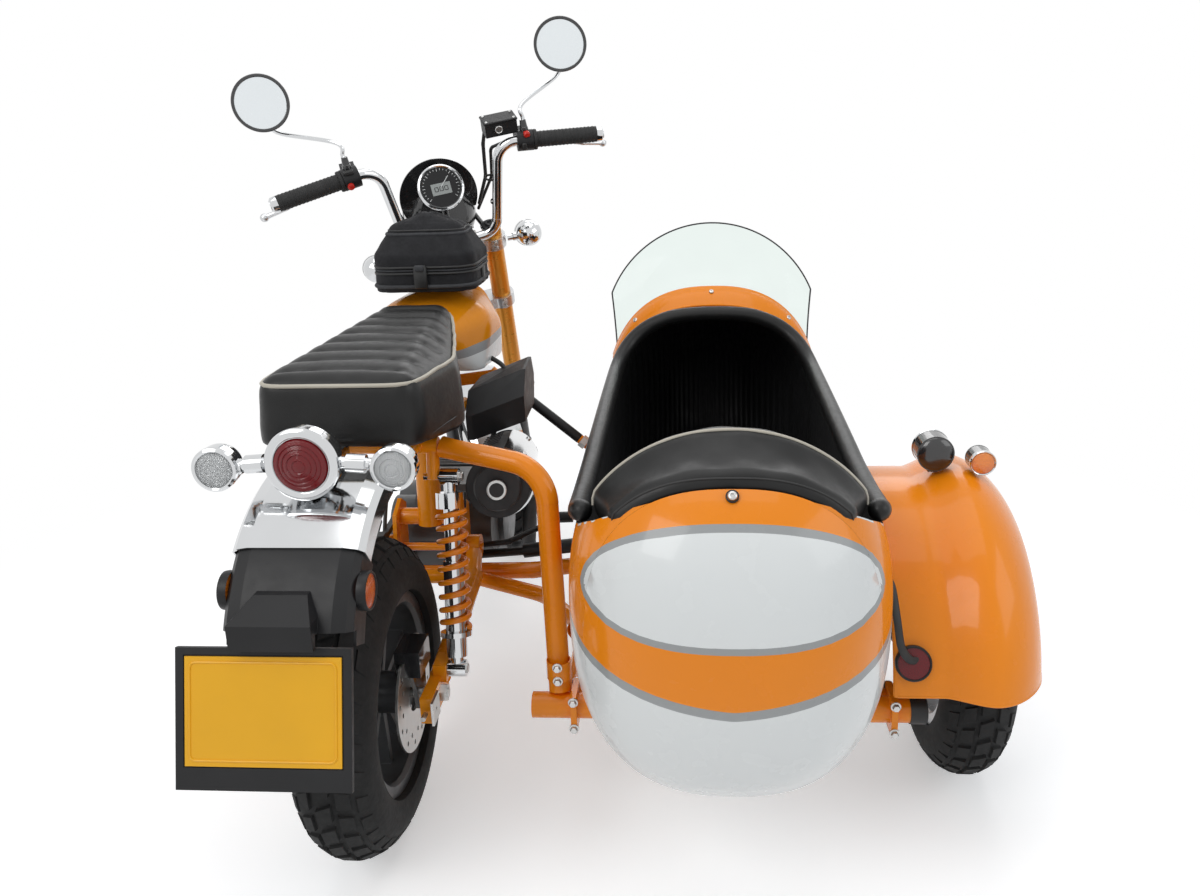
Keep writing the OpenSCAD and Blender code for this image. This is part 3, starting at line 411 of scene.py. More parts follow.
def screw(at, axis, r=5, h=3):
    return turned(at, axis, [(-1, r), (h * 0.5, r), (h * 0.85, r * 0.85), (h, r * 0.6), (h, r * 0.42),
                             (h * 0.45, r * 0.36), (h * 0.45, 0)], 20)


def bolt(at, axis, r=8, h=7):
    axis = unit(axis)
    return [turned(at, axis, [(-1, r * 1.35), (1.2, r * 1.35), (1.5, r * 1.25), (1.5, 0)], 24),
            turned(np.array(at) + axis * 1.2, axis, [(0, r), (h - 1, r), (h, r * 0.86), (h, 0)], 6)]


class Piece:
    """One mesh made of several shapes, riding on a body."""

    def __init__(self, name, body, where, looks):
        self.name, self.body, self.where, self.looks = name, body, where, looks.split()
        self.verts, self.faces, self.slots, self.values = [], [], [], []

    def add(self, shape, look=None, value=None):
        """Add one shape or a list of them, in one of the piece's looks, the first where none is named."""
        if isinstance(shape, list):
            for s in shape:
                self.add(s, look)
            return
        start = sum(len(v) for v in self.verts)
        slot = self.looks.index(look) if look else 0
        verts, faces = shape
        self.verts.append(np.asarray(verts, float))
        self.faces += [tuple(start + i for i in f) for f in faces]
        self.slots += [slot] * len(faces)
        if value is not None:
            self.values.append(value)

    def done(self, *stands_for, sharp=38):
        verts = np.concatenate(self.verts)
        world = verts @ self.where[:3, :3].T + self.where[:3, 3]
        mesh = bpy.data.meshes.new(self.name)
        mesh.from_pydata(world.tolist(), [], self.faces)
        for look in self.looks:
            mesh.materials.append(M[look])
        mesh.polygons.foreach_set("material_index", self.slots)
        if self.values:
            band = np.concatenate(self.values + [np.zeros(len(verts))])[:len(verts)]
            mesh.attributes.new("band", "FLOAT", "POINT").data.foreach_set("value", band)
        b = bmesh.new()
        b.from_mesh(mesh)
        bmesh.ops.remove_doubles(b, verts=b.verts, dist=1e-6)
        bmesh.ops.dissolve_degenerate(b, edges=b.edges, dist=1e-7)
        bmesh.ops.recalc_face_normals(b, faces=b.faces)
        set_smooth(b, sharp)
        b.to_mesh(mesh)
        b.free()
        obj = put(self.name, mesh)
        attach(obj, self.body)
        if stands_for:
            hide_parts(*stands_for)
        return obj


def set_smooth(b, sharp):
    limit = radians(sharp)
    for f in b.faces:
        f.smooth = True
    for e in b.edges:
        e.smooth = len(e.link_faces) == 2 and e.calc_face_angle(0) < limit


def flip(shape):
    """Mirror image in the local x."""
    if isinstance(shape, list):
        return [flip(s) for s in shape]
    verts, faces = shape
    return np.asarray(verts, float) * (-1, 1, 1), [tuple(reversed(f)) for f in faces]


def both(shape):
    """The shape and its mirror image."""
    shapes = shape if isinstance(shape, list) else [shape]
    return shapes + flip(shapes)


# ---- Sidecar ----

# The shell is a rounded tube of this half width, height above and below MIDDLE, and wall, which tapers behind
# TAIL_Y and ahead of NOSE_Y.
HALF_WIDE, TALL, DEEP, MIDDLE, WALL = 238, 262, 295, 460, 8
TAIL_Y, TAIL_LONG = -25, 250
NOSE_Y, NOSE_LONG, NOSE_DROP = 800, 520, 35
# The cockpit's edge, seen from the side, ends in a quarter hoop that starts at HOOP_Y, EDGE_Z.
HOOP_Y, EDGE_Z, HOOP_LONG, HOOP_TALL = 690, 592, 170, 130
ROLL_R, ROLL_UP = 16.4, 17.5  # the leather roll's radius, and its middle's distance from the edge
BACK_Y = -156  # the seat back's thin rear roll
COWL_Y = 868  # the hoop the windscreen stands on
LENS_Z, STRIPE_Z = 548, 398  # the white lens round the tail, and the silver stripe


def power(v, n=2.5):
    return copysign(abs(v) ** (2 / n), v)


def car_scale(y):
    if y < TAIL_Y:
        return max(0, 1 - min(1, (TAIL_Y - y) / TAIL_LONG) ** 2.5) ** 0.4
    if y > NOSE_Y:
        return max(0, 1 - min(1, (y - NOSE_Y) / NOSE_LONG) ** 2.1) ** 0.62
    return 1


def car_middle(y):
    return MIDDLE - max(0, NOSE_DROP * (y - NOSE_Y) / NOSE_LONG)


def edge_z(y):
    return EDGE_Z - 34 * max(0, (HOOP_Y - y) / 490)


def hoop(t):
    return HOOP_Y + HOOP_LONG * sin(t), EDGE_Z + HOOP_TALL * (1 - cos(t))


EDGE = [(-185, 664), (-168, 640), (-140, 620), (-90, 594), (-30, 572), (60, edge_z(200) + 2), (200, edge_z(200))]
EDGE += [hoop(radians(t)) for t in range(0, 91, 5)]


def car_x(y, z):
    s, zc = car_scale(y), car_middle(y)
    h = (TALL if z > zc else DEEP) * s
    return HALF_WIDE * s * max(0, 1 - min(1, abs(z - zc) / h) ** 2.5) ** 0.4


def car_row(y, wall, cut, columns):
    """Shell's section at y, wall inside its outside, open above the height cut."""
    s, zc = car_scale(y), car_middle(y)
    w, up, down = (max(0, size * s - wall) for size in (HALF_WIDE, TALL, DEEP))
    top = pi / 2
    if cut is not None and cut < zc + up:
        top = asin(min(1, max(0, (cut - zc) / up) ** 1.25))
    row = []
    for t in np.linspace(0, 1, columns):
        a = top + t * (-pi - 2 * top)
        row.append((w * power(cos(a)), y, zc + (up if sin(a) > 0 else down) * power(sin(a))))
    return row


def car_stations():
    """Places along the shell, each with the height its top is cut at, or None."""
    tail = [TAIL_Y - TAIL_LONG * (1 - sin(radians(a)) ** 2.5) ** 0.4
            for a in (0, 3, 6, 10, 15, 20, 26, 32, 39, 46, 54, 63, 72)]
    nose = [NOSE_Y + NOSE_LONG * (1 - sin(radians(90 - a)) ** (1 / 0.62)) ** (1 / 2.1)
            for a in (8, 14, 20, 27, 34, 41, 48, 55, 62, 69, 76, 82, 86, 90)]
    rows = [(y, None) for y in tail if y < -186] + [(-185.2, None), (-185, 664)]
    ys = [-177, -168, -158, -149, -140, -130, -120, -110, -100, -90, -75, -60, -45, -30, -10, 14, 36, 60,
          *range(80, HOOP_Y, 20), *(hoop(radians(t))[0] for t in range(0, 90, 4))]
    for y in ys:
        rows.append((y, float(np.interp(y, [p[0] for p in EDGE], [p[1] for p in EDGE]))))
    return rows + [(860, None)] + [(y, None) for y in nose if y > 862]


def band_value(x, y, z):
    """0 to 1: white bottom, silver stripe, orange, silver line, white lens round the tail at LENS_Z."""
    turn = atan2(abs(x), max(1e-3, TAIL_Y - y)) if y < TAIL_Y else pi / 2
    q = degrees(turn) / 54
    h = 93 if z > LENS_Z else 49
    v = abs(z - LENS_Z) / h
    slope = hypot(1.6 * v ** 0.6 / h, 2.5 * q ** 1.5 / 225)
    lens = (1 - v ** 1.6 - q ** 2.5) / max(0.004, slope)
    stripe = STRIPE_Z + 36 * (min(70, degrees(turn)) / 43.1) ** 1.3 + car_middle(y) - MIDDLE
    if z > stripe + 50:
        return float(np.clip(LENS_EDGE + lens / BAND_MM, 0.45, 1))
    return float(np.clip(STRIPE + (z - stripe) / BAND_MM, 0, 0.55))


def add_car_body():
    columns = 132
    stations = car_stations()
    piece = Piece("sidecar_shell", "root", CAR, "shell lining")
    outer = [car_row(y, 0, cut, columns) for y, cut in stations]
    verts, faces = grid(outer)
    piece.add((verts, faces), "shell", [band_value(*v) for v in verts])
    inner = [car_row(y, WALL, cut, columns) for y, cut in stations if -238 < y < 1290]
    ends = [np.array(inner[k]) * (0, 1, 0) + (0, 0, z) for k, z in ((0, MIDDLE), (-1, MIDDLE - NOSE_DROP))]
    piece.add(grid([ends[0], *inner, ends[1]]), "lining")
    for end in (0, -1):
        rim = [[car_row(y, wall, cut, columns)[end] for wall in (0, WALL)] for y, cut in stations if cut is not None]
        piece.add(grid(rim), "lining")
    piece.done("sidecar_body", sharp=50)

    rail = [roll(*at) for at in ((-88, 594, 0.42, 0.95), (-64, 586, 0.2, 1), (-40, 578, 0, 1), (-12, 573, 0, 1),
                                 (14, 569, 0.1, 1), (62, 562.5, 0.04, 1), (110, edge_z(200) + 2, 0, 1))]
    rail += [roll(y, edge_z(y), 0, 1) for y in range(200, HOOP_Y + 1, 70)]
    rail += [hoop_roll(t) for t in range(10, 84, 8)] + [vec(54, 842, 713), vec(0, 842, 715)]
    full = smooth_line(rail + [p * (-1, 1, 1) for p in reversed(rail[:-1])], 4)
    turns = [radians(a) for a in (22, 44, 62, 78, 88)]
    caps = [[full[i] + unit(full[i] - full[k]) * 16 * sin(a) for a in turns] for i, k in ((0, 1), (-1, -2))]
    thin = [ROLL_R * cos(a) for a in turns]
    size = thin[::-1] + [ROLL_R] * len(full) + thin
    full = np.concatenate([caps[0][::-1], full, caps[1]])
    piece = Piece("coaming_roll", "root", CAR, "leather thread")
    piece.add(tube(full, size, 20))
    obj = piece.done("cockpit_coaming")


def roll(y, z, ny, nz):
    """Middle of the leather roll, lifted off the shell's edge at y, z."""
    return vec(car_x(y, z) - 4, y + ny * ROLL_UP, z + nz * ROLL_UP)


def hoop_roll(t):
    a = radians(t)
    y, z = hoop(a)
    return roll(y, z, *unit(vec(-HOOP_TALL * sin(a), HOOP_LONG * cos(a))))


def local(where, verts):
    return (np.asarray(verts) - where[:3, 3]) @ np.linalg.inv(where[:3, :3]).T


def soft_copy(node, where, voxel, rounds):
    """Dense, even mesh of a CAD node's outside, in the given space: points, faces and normals."""
    obj = put("soft", NODES[node].data.copy())
    b = bmesh.new()
    b.from_mesh(obj.data)
    bmesh.ops.remove_doubles(b, verts=b.verts, dist=1e-5)
    b.to_mesh(obj.data)
    b.free()
    remesh = obj.modifiers.new("even", "REMESH")
    remesh.mode = "VOXEL"
    remesh.voxel_size = voxel / 1000
    relax = obj.modifiers.new("relax", "SMOOTH")
    relax.factor = 0.5
    relax.iterations = rounds
    view = bpy.context.evaluated_depsgraph_get()
    made = obj.evaluated_get(view).to_mesh()
    verts = local(where, [v.co[:] for v in made.vertices])
    normals = np.array([v.normal[:] for v in made.vertices]) @ np.linalg.inv(where[:3, :3]).T / 1000
    normals /= np.maximum(1e-9, np.linalg.norm(normals, axis=1))[:, None]
    faces = [tuple(p.vertices) for p in made.polygons]
    obj.evaluated_get(view).to_mesh_clear()
    bpy.data.objects.remove(obj)
    return verts, faces, normals


def back_section(u, s, cap, side):
    """Outline of the seat back's cover at u, from -5 to 5 across: a thick front roll drawn down to a thin rear one."""
    front_r, rear_r = 41.2, 23.6
    a, b = radians(12.5 * u), radians(8.4 * u)
    front = vec(172 * sin(a), -84, 622 + 72 * cos(1.4 * a))
    rear = vec((HALF_WIDE * s - 18) * power(sin(b)), BACK_Y, MIDDLE + (TALL * s - 18) * power(cos(b)))
    along = unit(vec(cos(a), 0, -sin(1.4 * a)) * side)
    big, small = front_r * cos(cap), rear_r * cos(cap)
    front, rear = front + along * 41 * sin(cap), rear + along * 23 * sin(cap)
    back = rear - front
    far = np.linalg.norm(back)
    back /= far
    out = np.cross(back, along) * side
    out = unit(out - back * out.dot(back))
    lean = asin((front_r - rear_r) / far * cos(cap))
    points = []
    for t in np.linspace(0, 1, 16, endpoint=False):
        d = sin(lean) * back + cos(lean) * out
        points.append(front + back * far * t + d * (big + (small - big) * t - 5 * cos(cap) * sin(pi * t)))
    for t in np.linspace(pi / 2 - lean, -pi / 2 + lean, 14):
        points.append(rear + small * (cos(t) * back + sin(t) * out))
    for t in np.linspace(-pi / 2 + lean, pi / 2 - lean - 2 * pi, 22)[1:-1]:
        points.append(front + big * (cos(t) * back + sin(t) * out))
    points = np.array(points)
    points[:, 2] += 0.7 * np.sin(points[:, 0] * 0.09) * np.sin(points[:, 1] * 0.11)
    return points, front + out * (big + 0.2), rear + small * (cos(0.75) * back + sin(0.75) * out)


def add_car_seats():
    back = Piece("seatback_roll", "root", CAR, "leather piping hose")
    sections, front_line, seam = [], [], []
    s = car_scale(BACK_Y)
    for u in [-5] * 6 + list(np.linspace(-5, 5, 81)) + [5] * 6:
        k = len(sections)
        cap = radians(15 * (6 - k) if k < 6 else 15 * (k - 86) if k > 86 else 0)
        sections.append(back_section(u, s, cap, -1 if k < 6 else 1))
        if 4 <= k <= 88:
            front_line.append(sections[-1][1])
            seam.append(sections[-1][2])
    verts, faces = grid([row[0] for row in sections], wrap_columns=True)
    m = len(sections[0][0])
    faces += [tuple(range(m)), tuple(reversed(range(len(verts) - m, len(verts))))]
    back.add((verts, faces))
    back.add(tube(front_line, 2.6, 10), "piping")
    back.add(tube(seam, 1.6, 8), "hose")
    obj = back.done()

    panel = Piece("seatback_panel", "root", CAR, "leather")
    half_wide, low, high = 163, 408, 636
    for facing in (1, -1):
        rows = []
        for z in np.linspace(low, high, 40):
            rows.append([])
            for x in np.linspace(-half_wide, half_wide, 90):
                edge = min(1, (half_wide - abs(x)) / 14 + 0.02) ** 0.5
                edge *= min(1, (z - low + 2) / 12 + 0.02, (high + 2 - z) / 12 + 0.02) ** 0.5
                ribs = abs(sin(x * pi / 36)) ** 0.5
                rows[-1].append((x, 10 - 30 * (z - 405) / 235 + facing * edge * (11 + 3 * ribs), z))
        verts, faces = grid(rows)
        panel.add((verts, faces if facing > 0 else [tuple(reversed(f)) for f in faces]))
    obj = panel.done("seat_back")

    p, faces, n = soft_copy("sidecar_seat", CAR, 6, 6)
    for i, (x, y, z) in enumerate(p):
        groove = abs(sin(x * pi / 62)) ** 0.35
        dome = 1 - ((x / 186) ** 4) * 0.5
        if n[i][2] > 0.3:
            p[i] = (x, y, z - 9 * (1 - groove) - 6 * (1 - dome))
        elif n[i][1] > 0.4:
            p[i] = (x, y - 7 * (1 - groove), z)
    seat = Piece("sidecar_cushion", "root", CAR, "leather piping")
    seat.add((p, faces))
    obj = seat.done("sidecar_seat", sharp=60)


def hoop_edge(a):
    a = radians(a)
    wide = car_x(COWL_Y, car_middle(COWL_Y))
    return vec(wide * power(sin(a)), COWL_Y - 40 * (1 - cos(a)), MIDDLE + 266 * power(cos(a)))


def sheet_of(rows, shifts):
    """Closed thin shell: rows of points, and the same rows with each moved by its own shift."""
    rows = np.array(rows, float)
    second = rows + np.array(shifts)[:, None]
    loop = np.concatenate([rows, second[:, ::-1]], axis=1)
    verts, faces = grid(loop, wrap_columns=True)
    m = loop.shape[1]
    last = (rows.shape[0] - 1) * m
    for j in range(rows.shape[1] - 1):
        faces.append((j, j + 1, m - 2 - j, m - 1 - j))
        faces.append((last + j, last + m - 1 - j, last + m - 2 - j, last + j + 1))
    return verts, faces


def add_screen():
    piece = Piece("windscreen_pane", "root", CAR, "glass fabric_grey")
    rows = []
    corner, thick = radians(68), vec(0, -2.6, 0)
    for a in np.linspace(-67.5, 67.5, 55):
        r = radians(a)
        low = hoop_edge(a * 0.9) + vec(12 * sin(r), 56, 22 * cos(r))
        top = vec(238 * sin(r) / sin(corner), 950 + 60 * cos(r),
                  742 + 160 * (cos(r) - cos(corner)) / (1 - cos(corner)))
        rows.append([low + (top - low) * t + vec(0, 10 * sin(pi * t), 0) for t in np.linspace(0, 1, 9)])
    piece.add(sheet_of(rows, [thick] * len(rows)))
    for edge in ([r[-1] for r in rows], rows[0], rows[-1]):
        piece.add(tube([p + thick / 2 for p in edge], 1.9, 8), "fabric_grey")
    piece.done("windscreen")

    piece = Piece("cowl_lip", "root", CAR, "orange steel")
    rows, lifts = [], []
    for a in np.linspace(-66, 66, 67):
        r = radians(a)
        p = hoop_edge(a)
        start, end = p + (0, 2, 3), p + vec(16 * sin(r), 48, 10 + 30 * cos(r))
        lifts.append(vec(sin(r), 0, cos(r)))
        rows.append([start + (end - start) * t + lifts[-1] * 6 * sin(pi * min(1, t * 1.1))
                     for t in np.linspace(0, 1, 11)])
    piece.add(sheet_of(rows, [lift * -3.2 for lift in lifts]))
    piece.add(tube([r[0] for r in rows], 2.4, 8))
    for a in (0, 42, -42):
        r = radians(a)
        at = hoop_edge(a) + vec(10 * sin(r), 26, 6 + 24 * cos(r))
        piece.add(screw(at, (sin(r), -0.7, cos(r)), 5.5, 3), "steel")
    piece.done("screen_cowl")


# The fender's section: distance from the wheel's axle, and x.
ARCH = [(289, 252), (295, 258), (295, 333), (300, 348), (308, 366), (315, 384), (318, 402), (314, 421), (304, 440),
        (291, 456), (273, 472), (250, 486), (222, 496)]


def add_car_fender():
    line = smooth_line([ARCH[1], (295, 285), (295, 312)] + ARCH[2:], 5)
    line = np.concatenate([[(289.5, 252.4), (293, 254)], line, [(214, 496), (206, 496)]])
    step = np.gradient(line, axis=0)
    step /= np.linalg.norm(step, axis=1)[:, None]
    inside = line + 4 * np.stack([-step[:, 1], step[:, 0]], 1)
    rows = []
    for profile in (line, inside):
        rows.append([])
        for r, x in profile:
            low = asin(min(1, 42.4 / r))
            rows[-1].append([(x, 238 + r * cos(a), 248 + r * sin(a))
                             for a in np.linspace(low, pi - low, 73)])
    piece = Piece("fender_shell", "root", CAR, "orange steel satin")
    outer, inner = np.array(rows[0]), np.array(rows[1])
    loop = np.concatenate([outer, inner[::-1]])
    verts, faces = grid(loop, wrap_rows=True)
    n, m = loop.shape[:2]
    for j in (0, m - 1):
        for i in range(n // 2 - 1):
            faces.append((i * m + j, (i + 1) * m + j, (n - 2 - i) * m + j, (n - 1 - i) * m + j))
    piece.add((verts, faces))
    for j in (0, m - 1):
        piece.add(tube([(outer[i][j] + inner[i][j]) / 2 + (0, 0, 1.5) for i in range(len(outer))][2:-2], 2.6, 8))
    piece.done("sidecar_fender")


# ---- Wheels ----

def add_tyre(name, node, body, where, r, w):
    """Tyre of radius r and width w: a worn-back carcass, and five rows of blocks at (degrees, half width, shift)."""
    piece = Piece(name, body, where, "rubber")
    profile = []
    half = w / 2
    for a in np.linspace(-112, 112, 57):
        k = abs(a)
        depth = 6.5 if k < 64 else 6.5 - 5.5 * min(1, (k - 64) / 8)
        if 88 < k < 92 or 100 < k < 103:
            depth = -0.4
        t = radians(a)
        profile.append((half * sin(t), r - half + (half - depth) * cos(t)))
    profile += [(52, 167), (44.6, 167), (44.6, 153.4), (-44.6, 153.4), (-44.6, 167), (-52, 167)]
    profile.append(profile[0])
    piece.add(turned((0, 0, 0), (1, 0, 0), profile, 120))
    count = 34
    rows = ((0, 11, 0), (27, 10, 0.5), (-27, 10, 0.5), (53, 9.5, 0), (-53, 9.5, 0))
    for row, (mid, reach, shift) in enumerate(rows):
        for k in range(count):
            corners = []
            for lift, shrink in ((-8, 1.0), (-0.25, 0.9)):
                for sa, sp in ((-1, -1), (1, -1), (1, 1), (-1, 1)):
                    t = radians(mid + sa * reach * shrink)
                    skew = 0.10 * sa * (1 if row % 2 else -1)
                    phi = 2 * pi / count * (k + shift + 0.36 * sp * shrink + skew)
                    out = r - half + (half + lift) * cos(t)
                    corners.append(((half + lift) * sin(t), out * cos(phi), out * sin(phi)))
            piece.add((corners, [(3, 2, 1, 0), (4, 5, 6, 7), (0, 1, 5, 4), (1, 2, 6, 5), (2, 3, 7, 6), (3, 0, 4, 7)]))
    piece.done(node, sharp=30)


def add_wheels():
    add_tyre("rear_tyre_tread", "rear_tyre", "rear_wheel", REAR, 256, 130)
    add_tyre("front_tyre_tread", "front_tyre", "front_wheel", FRONT, 248, 120)
    add_tyre("side_tyre_tread", "side_tyre", "side_wheel", SIDE, 248, 120)
    for body, where, half in (("rear_wheel", REAR, 62), ("front_wheel", FRONT, 52), ("side_wheel", SIDE, 52)):
        piece = Piece(body + "_fittings", body, where, "steel hose")
        for side in (-1, 1):
            for k in range(5):
                a = 2 * pi * (k + 0.5) / 5
                piece.add(screw((side * (half - 0.2), 24 * cos(a), 24 * sin(a)), (side, 0, 0), 4.5, 3))
        piece.add(tube([(12, 0, 144.5), (14, 0, 136), (18, 0, 122)], 4, 10), "hose")
        piece.add(tube([(18, 0, 122), (19.5, 0, 116)], 5, 10), "hose")
        piece.done()


# ---- Motorcycle ----

def add_springs():
    for side in (-1, 1):
        top, low = vec(side * 128, 118, 590), vec(side * 138, 30, 284)
        u = unit(low - top)
        start, length = top + u * 57.5, np.linalg.norm(low - top) - 125
        a = unit(np.cross(u, (0, 1, 0)))
        b = np.cross(u, a)
        turns, per = 9, 24
        path = []
        for k in range(turns * per + 1):
            t = k / (turns * per)
            along = length * (0.85 * t + 0.15 * (0.5 - 0.5 * cos(pi * t)))
            phi = 2 * pi * turns * t
            path.append(start + u * along + 22.4 * (cos(phi) * a + sin(phi) * b))
        piece = Piece("spring_" + ("right" if side > 0 else "left"), "root", BIKE, "orange")
        piece.add(tube(path, 4.6, 12))
        piece.done("shock_springs")


def add_bike_seat():
    p, faces, n = soft_copy("seat", BIKE, 6, 5)
    for i, (x, y, z) in enumerate(p):
        up = max(0, n[i][2])
        if up > 0.25:
            phase = (y + 0.0012 * x * x + 30) / 56
            groove = abs(sin(pi * phase)) ** 0.45
            fade = min(1, (up - 0.25) / 0.35) * min(1, max(0, (y + 22) / 30)) * min(1, max(0, (452 - y) / 20))
            fade *= min(1, max(0, ((118 if y < 250 else 100) - abs(x)) / 16))
            p[i][2] -= 8.5 * (1 - groove) * fade
        p[i] += n[i] * 0.35 * sin(x * 0.11 + y * 0.05) * sin(z * 0.07)
    piece = Piece("saddle", "root", BIKE, "leather")
    piece.add((p, faces))
    obj = piece.done("seat", sharp=70)


def contour(p, centre, height_at, count=90, near=5.0, inset=0.0):
    """Closed loop round a soft shape where it meets the surface z = height_at(y)."""
    band = p[np.abs(p[:, 2] - height_at(p[:, 1])) < near]
    turn = np.arctan2(band[:, 1] - centre[1], band[:, 0] - centre[0])
    loop = []
    for k in range(count):
        a = -pi + 2 * pi * k / count
        gap = np.abs((turn - a + pi) % (2 * pi) - pi)
        chosen = band[np.argsort(gap)[:5]]
        reach = np.mean(np.hypot(chosen[:, 0] - centre[0], chosen[:, 1] - centre[1])) - inset
        y = centre[1] + reach * sin(a)
        loop.append((centre[0] + reach * cos(a), y, height_at(y)))
    loop = np.array(loop)
    return (np.roll(loop, 1, 0) + 2 * loop + np.roll(loop, -1, 0)) / 4


def add_seat_trim():
    p = soft_copy("seat", BIKE, 8, 4)[0]

    def shoulder(y):
        return np.interp(y, [-30, 60, 180, 330, 470], [786, 783, 775, 783, 801])

    loop = contour(p, (0, 205), shoulder, 96, inset=-4)
    piece = Piece("saddle_piping", "root", BIKE, "piping hose")
    piece.add(tube(loop, 3.2, 10, closed=True))
    lower = contour(p, (0, 205), lambda y: shoulder(y) - 88, 96, inset=0.4)
    piece.add(tube(lower, 1.4, 8, closed=True), "hose")
    piece.done()


def add_tank():
    p, faces, _ = soft_copy("fuel_tank", BIKE, 5, 7)
    value = np.clip(0.5 + (p[:, 2] - (716 + 0.10 * (p[:, 1] - 600))) / 160, 0, 1)
    piece = Piece("tank_shell", "root", BIKE, "tank")
    piece.add((p, faces), "tank", value)
    piece.done("fuel_tank", sharp=70)
    piece = Piece("tank_seam", "root", BIKE, "satin")
    loop = contour(p, (0, 610), lambda y: 0 * y + 668, 90, near=4)
    piece.add(tube(loop, 2.4, 8, closed=True))
    piece.done()


def add_bag():
    middle = (0, 618)
    p, faces, n = soft_copy("tank_bag", BIKE, 5, 4)
    for i, (x, y, z) in enumerate(p):
        p[i] += n[i] * (0.7 * sin(x * 0.13 + z * 0.11) * sin(y * 0.09) - 1.2)
        if z > 950:
            across = min(abs(x), abs(y - middle[1]))
            p[i][2] -= 3.5 * max(0, 1 - across / 5) if across < 5 else 0
            p[i][2] -= 3.0 if across > 12 and max(abs(x), abs(y - middle[1])) < 46 else 0
    piece = Piece("bag_shell", "root", BIKE, "fabric fabric_grey hose piping")
    piece.add((p, faces))
    for z, r, look, inset in ((842, 4, "fabric_grey", -1), (868, 2.6, "hose", -0.5), (874, 1.6, "fabric_grey", -0.5),
                              (880, 2.6, "hose", -0.5), (941, 3.2, "fabric_grey", 0), (948, 1.8, "hose", 0)):
        loop = contour(p, middle, lambda y, z=z: 0 * y + z, 80, near=4, inset=inset)
        piece.add(tube(loop, r, 8, closed=True), look)
    for x in (-103, 103):
        piece.add(bar((x, 620, 850), (5, 26, 34), 1.5), "hose")
    piece.add(bar((0, 511, 862), (26, 10, 46), 3), "hose")
    piece.add(bar((0, 506, 880), (18, 8, 12), 2), "fabric_grey")
    obj = piece.done("tank_bag", sharp=60)


TAIL_LAMP = (0, -156, 716)
SIGNAL_X, SIGNAL_Y, SIGNAL_Z = 125, -156, 708  # the rear signals
PLATE, PLATE_LEAN = (-30, -318, 428), 17  # the number plate's middle, and its lean in degrees
FRONT_WAY, REAR_WAY = (0, 1, 0), (0, -1, 0)


def add_rear_details():
    rings = Piece("tail_lens_rings", "root", BIKE, "red_lens")
    rings.add(turned(TAIL_LAMP, REAR_WAY, [(6.5, 0), (6.5, 38), (20, 38), (24, 36), (26, 31), (24.6, 29.5), (26.8, 25),
                                           (25.4, 23.5), (27.8, 18), (26.4, 16.5), (28.6, 10), (27.4, 8.5), (29, 4),
                                           (29, 0)], 64))
    rings.done("tail_lens")
    lens = Piece("rear_signal_lenses", "root", BIKE, "clear amber")
    for side in (-1, 1):
        lens.add(turned((side * SIGNAL_X, SIGNAL_Y, SIGNAL_Z), REAR_WAY,
                        [(6.5, 0), (6.5, 25), (15, 25), (19, 21), (21, 17), (20, 16), (22, 10), (21, 9), (23, 4),
                         (23, 0)], 48))
    lens.done("signal_lenses")
    trim = Piece("rear_trim", "root", BIKE, "chrome steel satin hose")
    trim.add(turned(TAIL_LAMP, REAR_WAY,
                    [(17, 39), (21, 39.5), (22.5, 42), (22, 48), (19.5, 51.2), (15, 52), (15, 49)], 64))
    for side in (-1, 1):
        trim.add(turned((side * SIGNAL_X, SIGNAL_Y, SIGNAL_Z), REAR_WAY,
                        [(13, 25.6), (17, 26), (18, 28), (16, 31.4), (10, 32), (10, 30)], 48))
        trim.add(turned((side * 104, SIGNAL_Y, SIGNAL_Z), (side, 0, 0),
                        [(-14, 9.4), (-12, 11), (-6, 11), (-4, 9.4)], 24))
        trim.add(turned((side * 88.5, -236, 560), (side, 0, 0),
                        [(-0.5, 26.5), (7, 27), (12, 26), (12.2, 24), (10, 23.4)], 40), "satin")
        trim.add(bolt((side * 142, 118, 590), (side, 0, 0), 8, 7), "steel")
        trim.add(bolt((side * 148, 30, 284), (side, 0, 0), 8, 7), "steel")
        trim.add(screw((side * 70, -114, 660), (side * 0.9, 0, 0.4), 5, 3), "steel")
        for y, z in ((470, 566), (590, 592)):
            trim.add(screw(((196 if side > 0 else 132), y + 20, z + 26), (side, 0, 0), 6, 3), "steel")
    trim.done()
    lean = radians(PLATE_LEAN)
    up = vec(0, sin(lean), cos(lean))
    middle = PLATE + vec(0, -cos(lean), sin(lean)) * 4.9
    loop = []
    for x, z, start in ((-90, -56, 180), (90, -56, 270), (90, 56, 0), (-90, 56, 90)):
        for a in range(start, start + 91, 15):
            a = radians(a)
            loop.append(middle + vec(x + 8 * cos(a), 0, 0) + up * (z + 8 * sin(a)))
    edge = Piece("plate_border", "root", BIKE, "plate")
    edge.add(tube(loop, 1.6, 8, closed=True))
    edge.done()


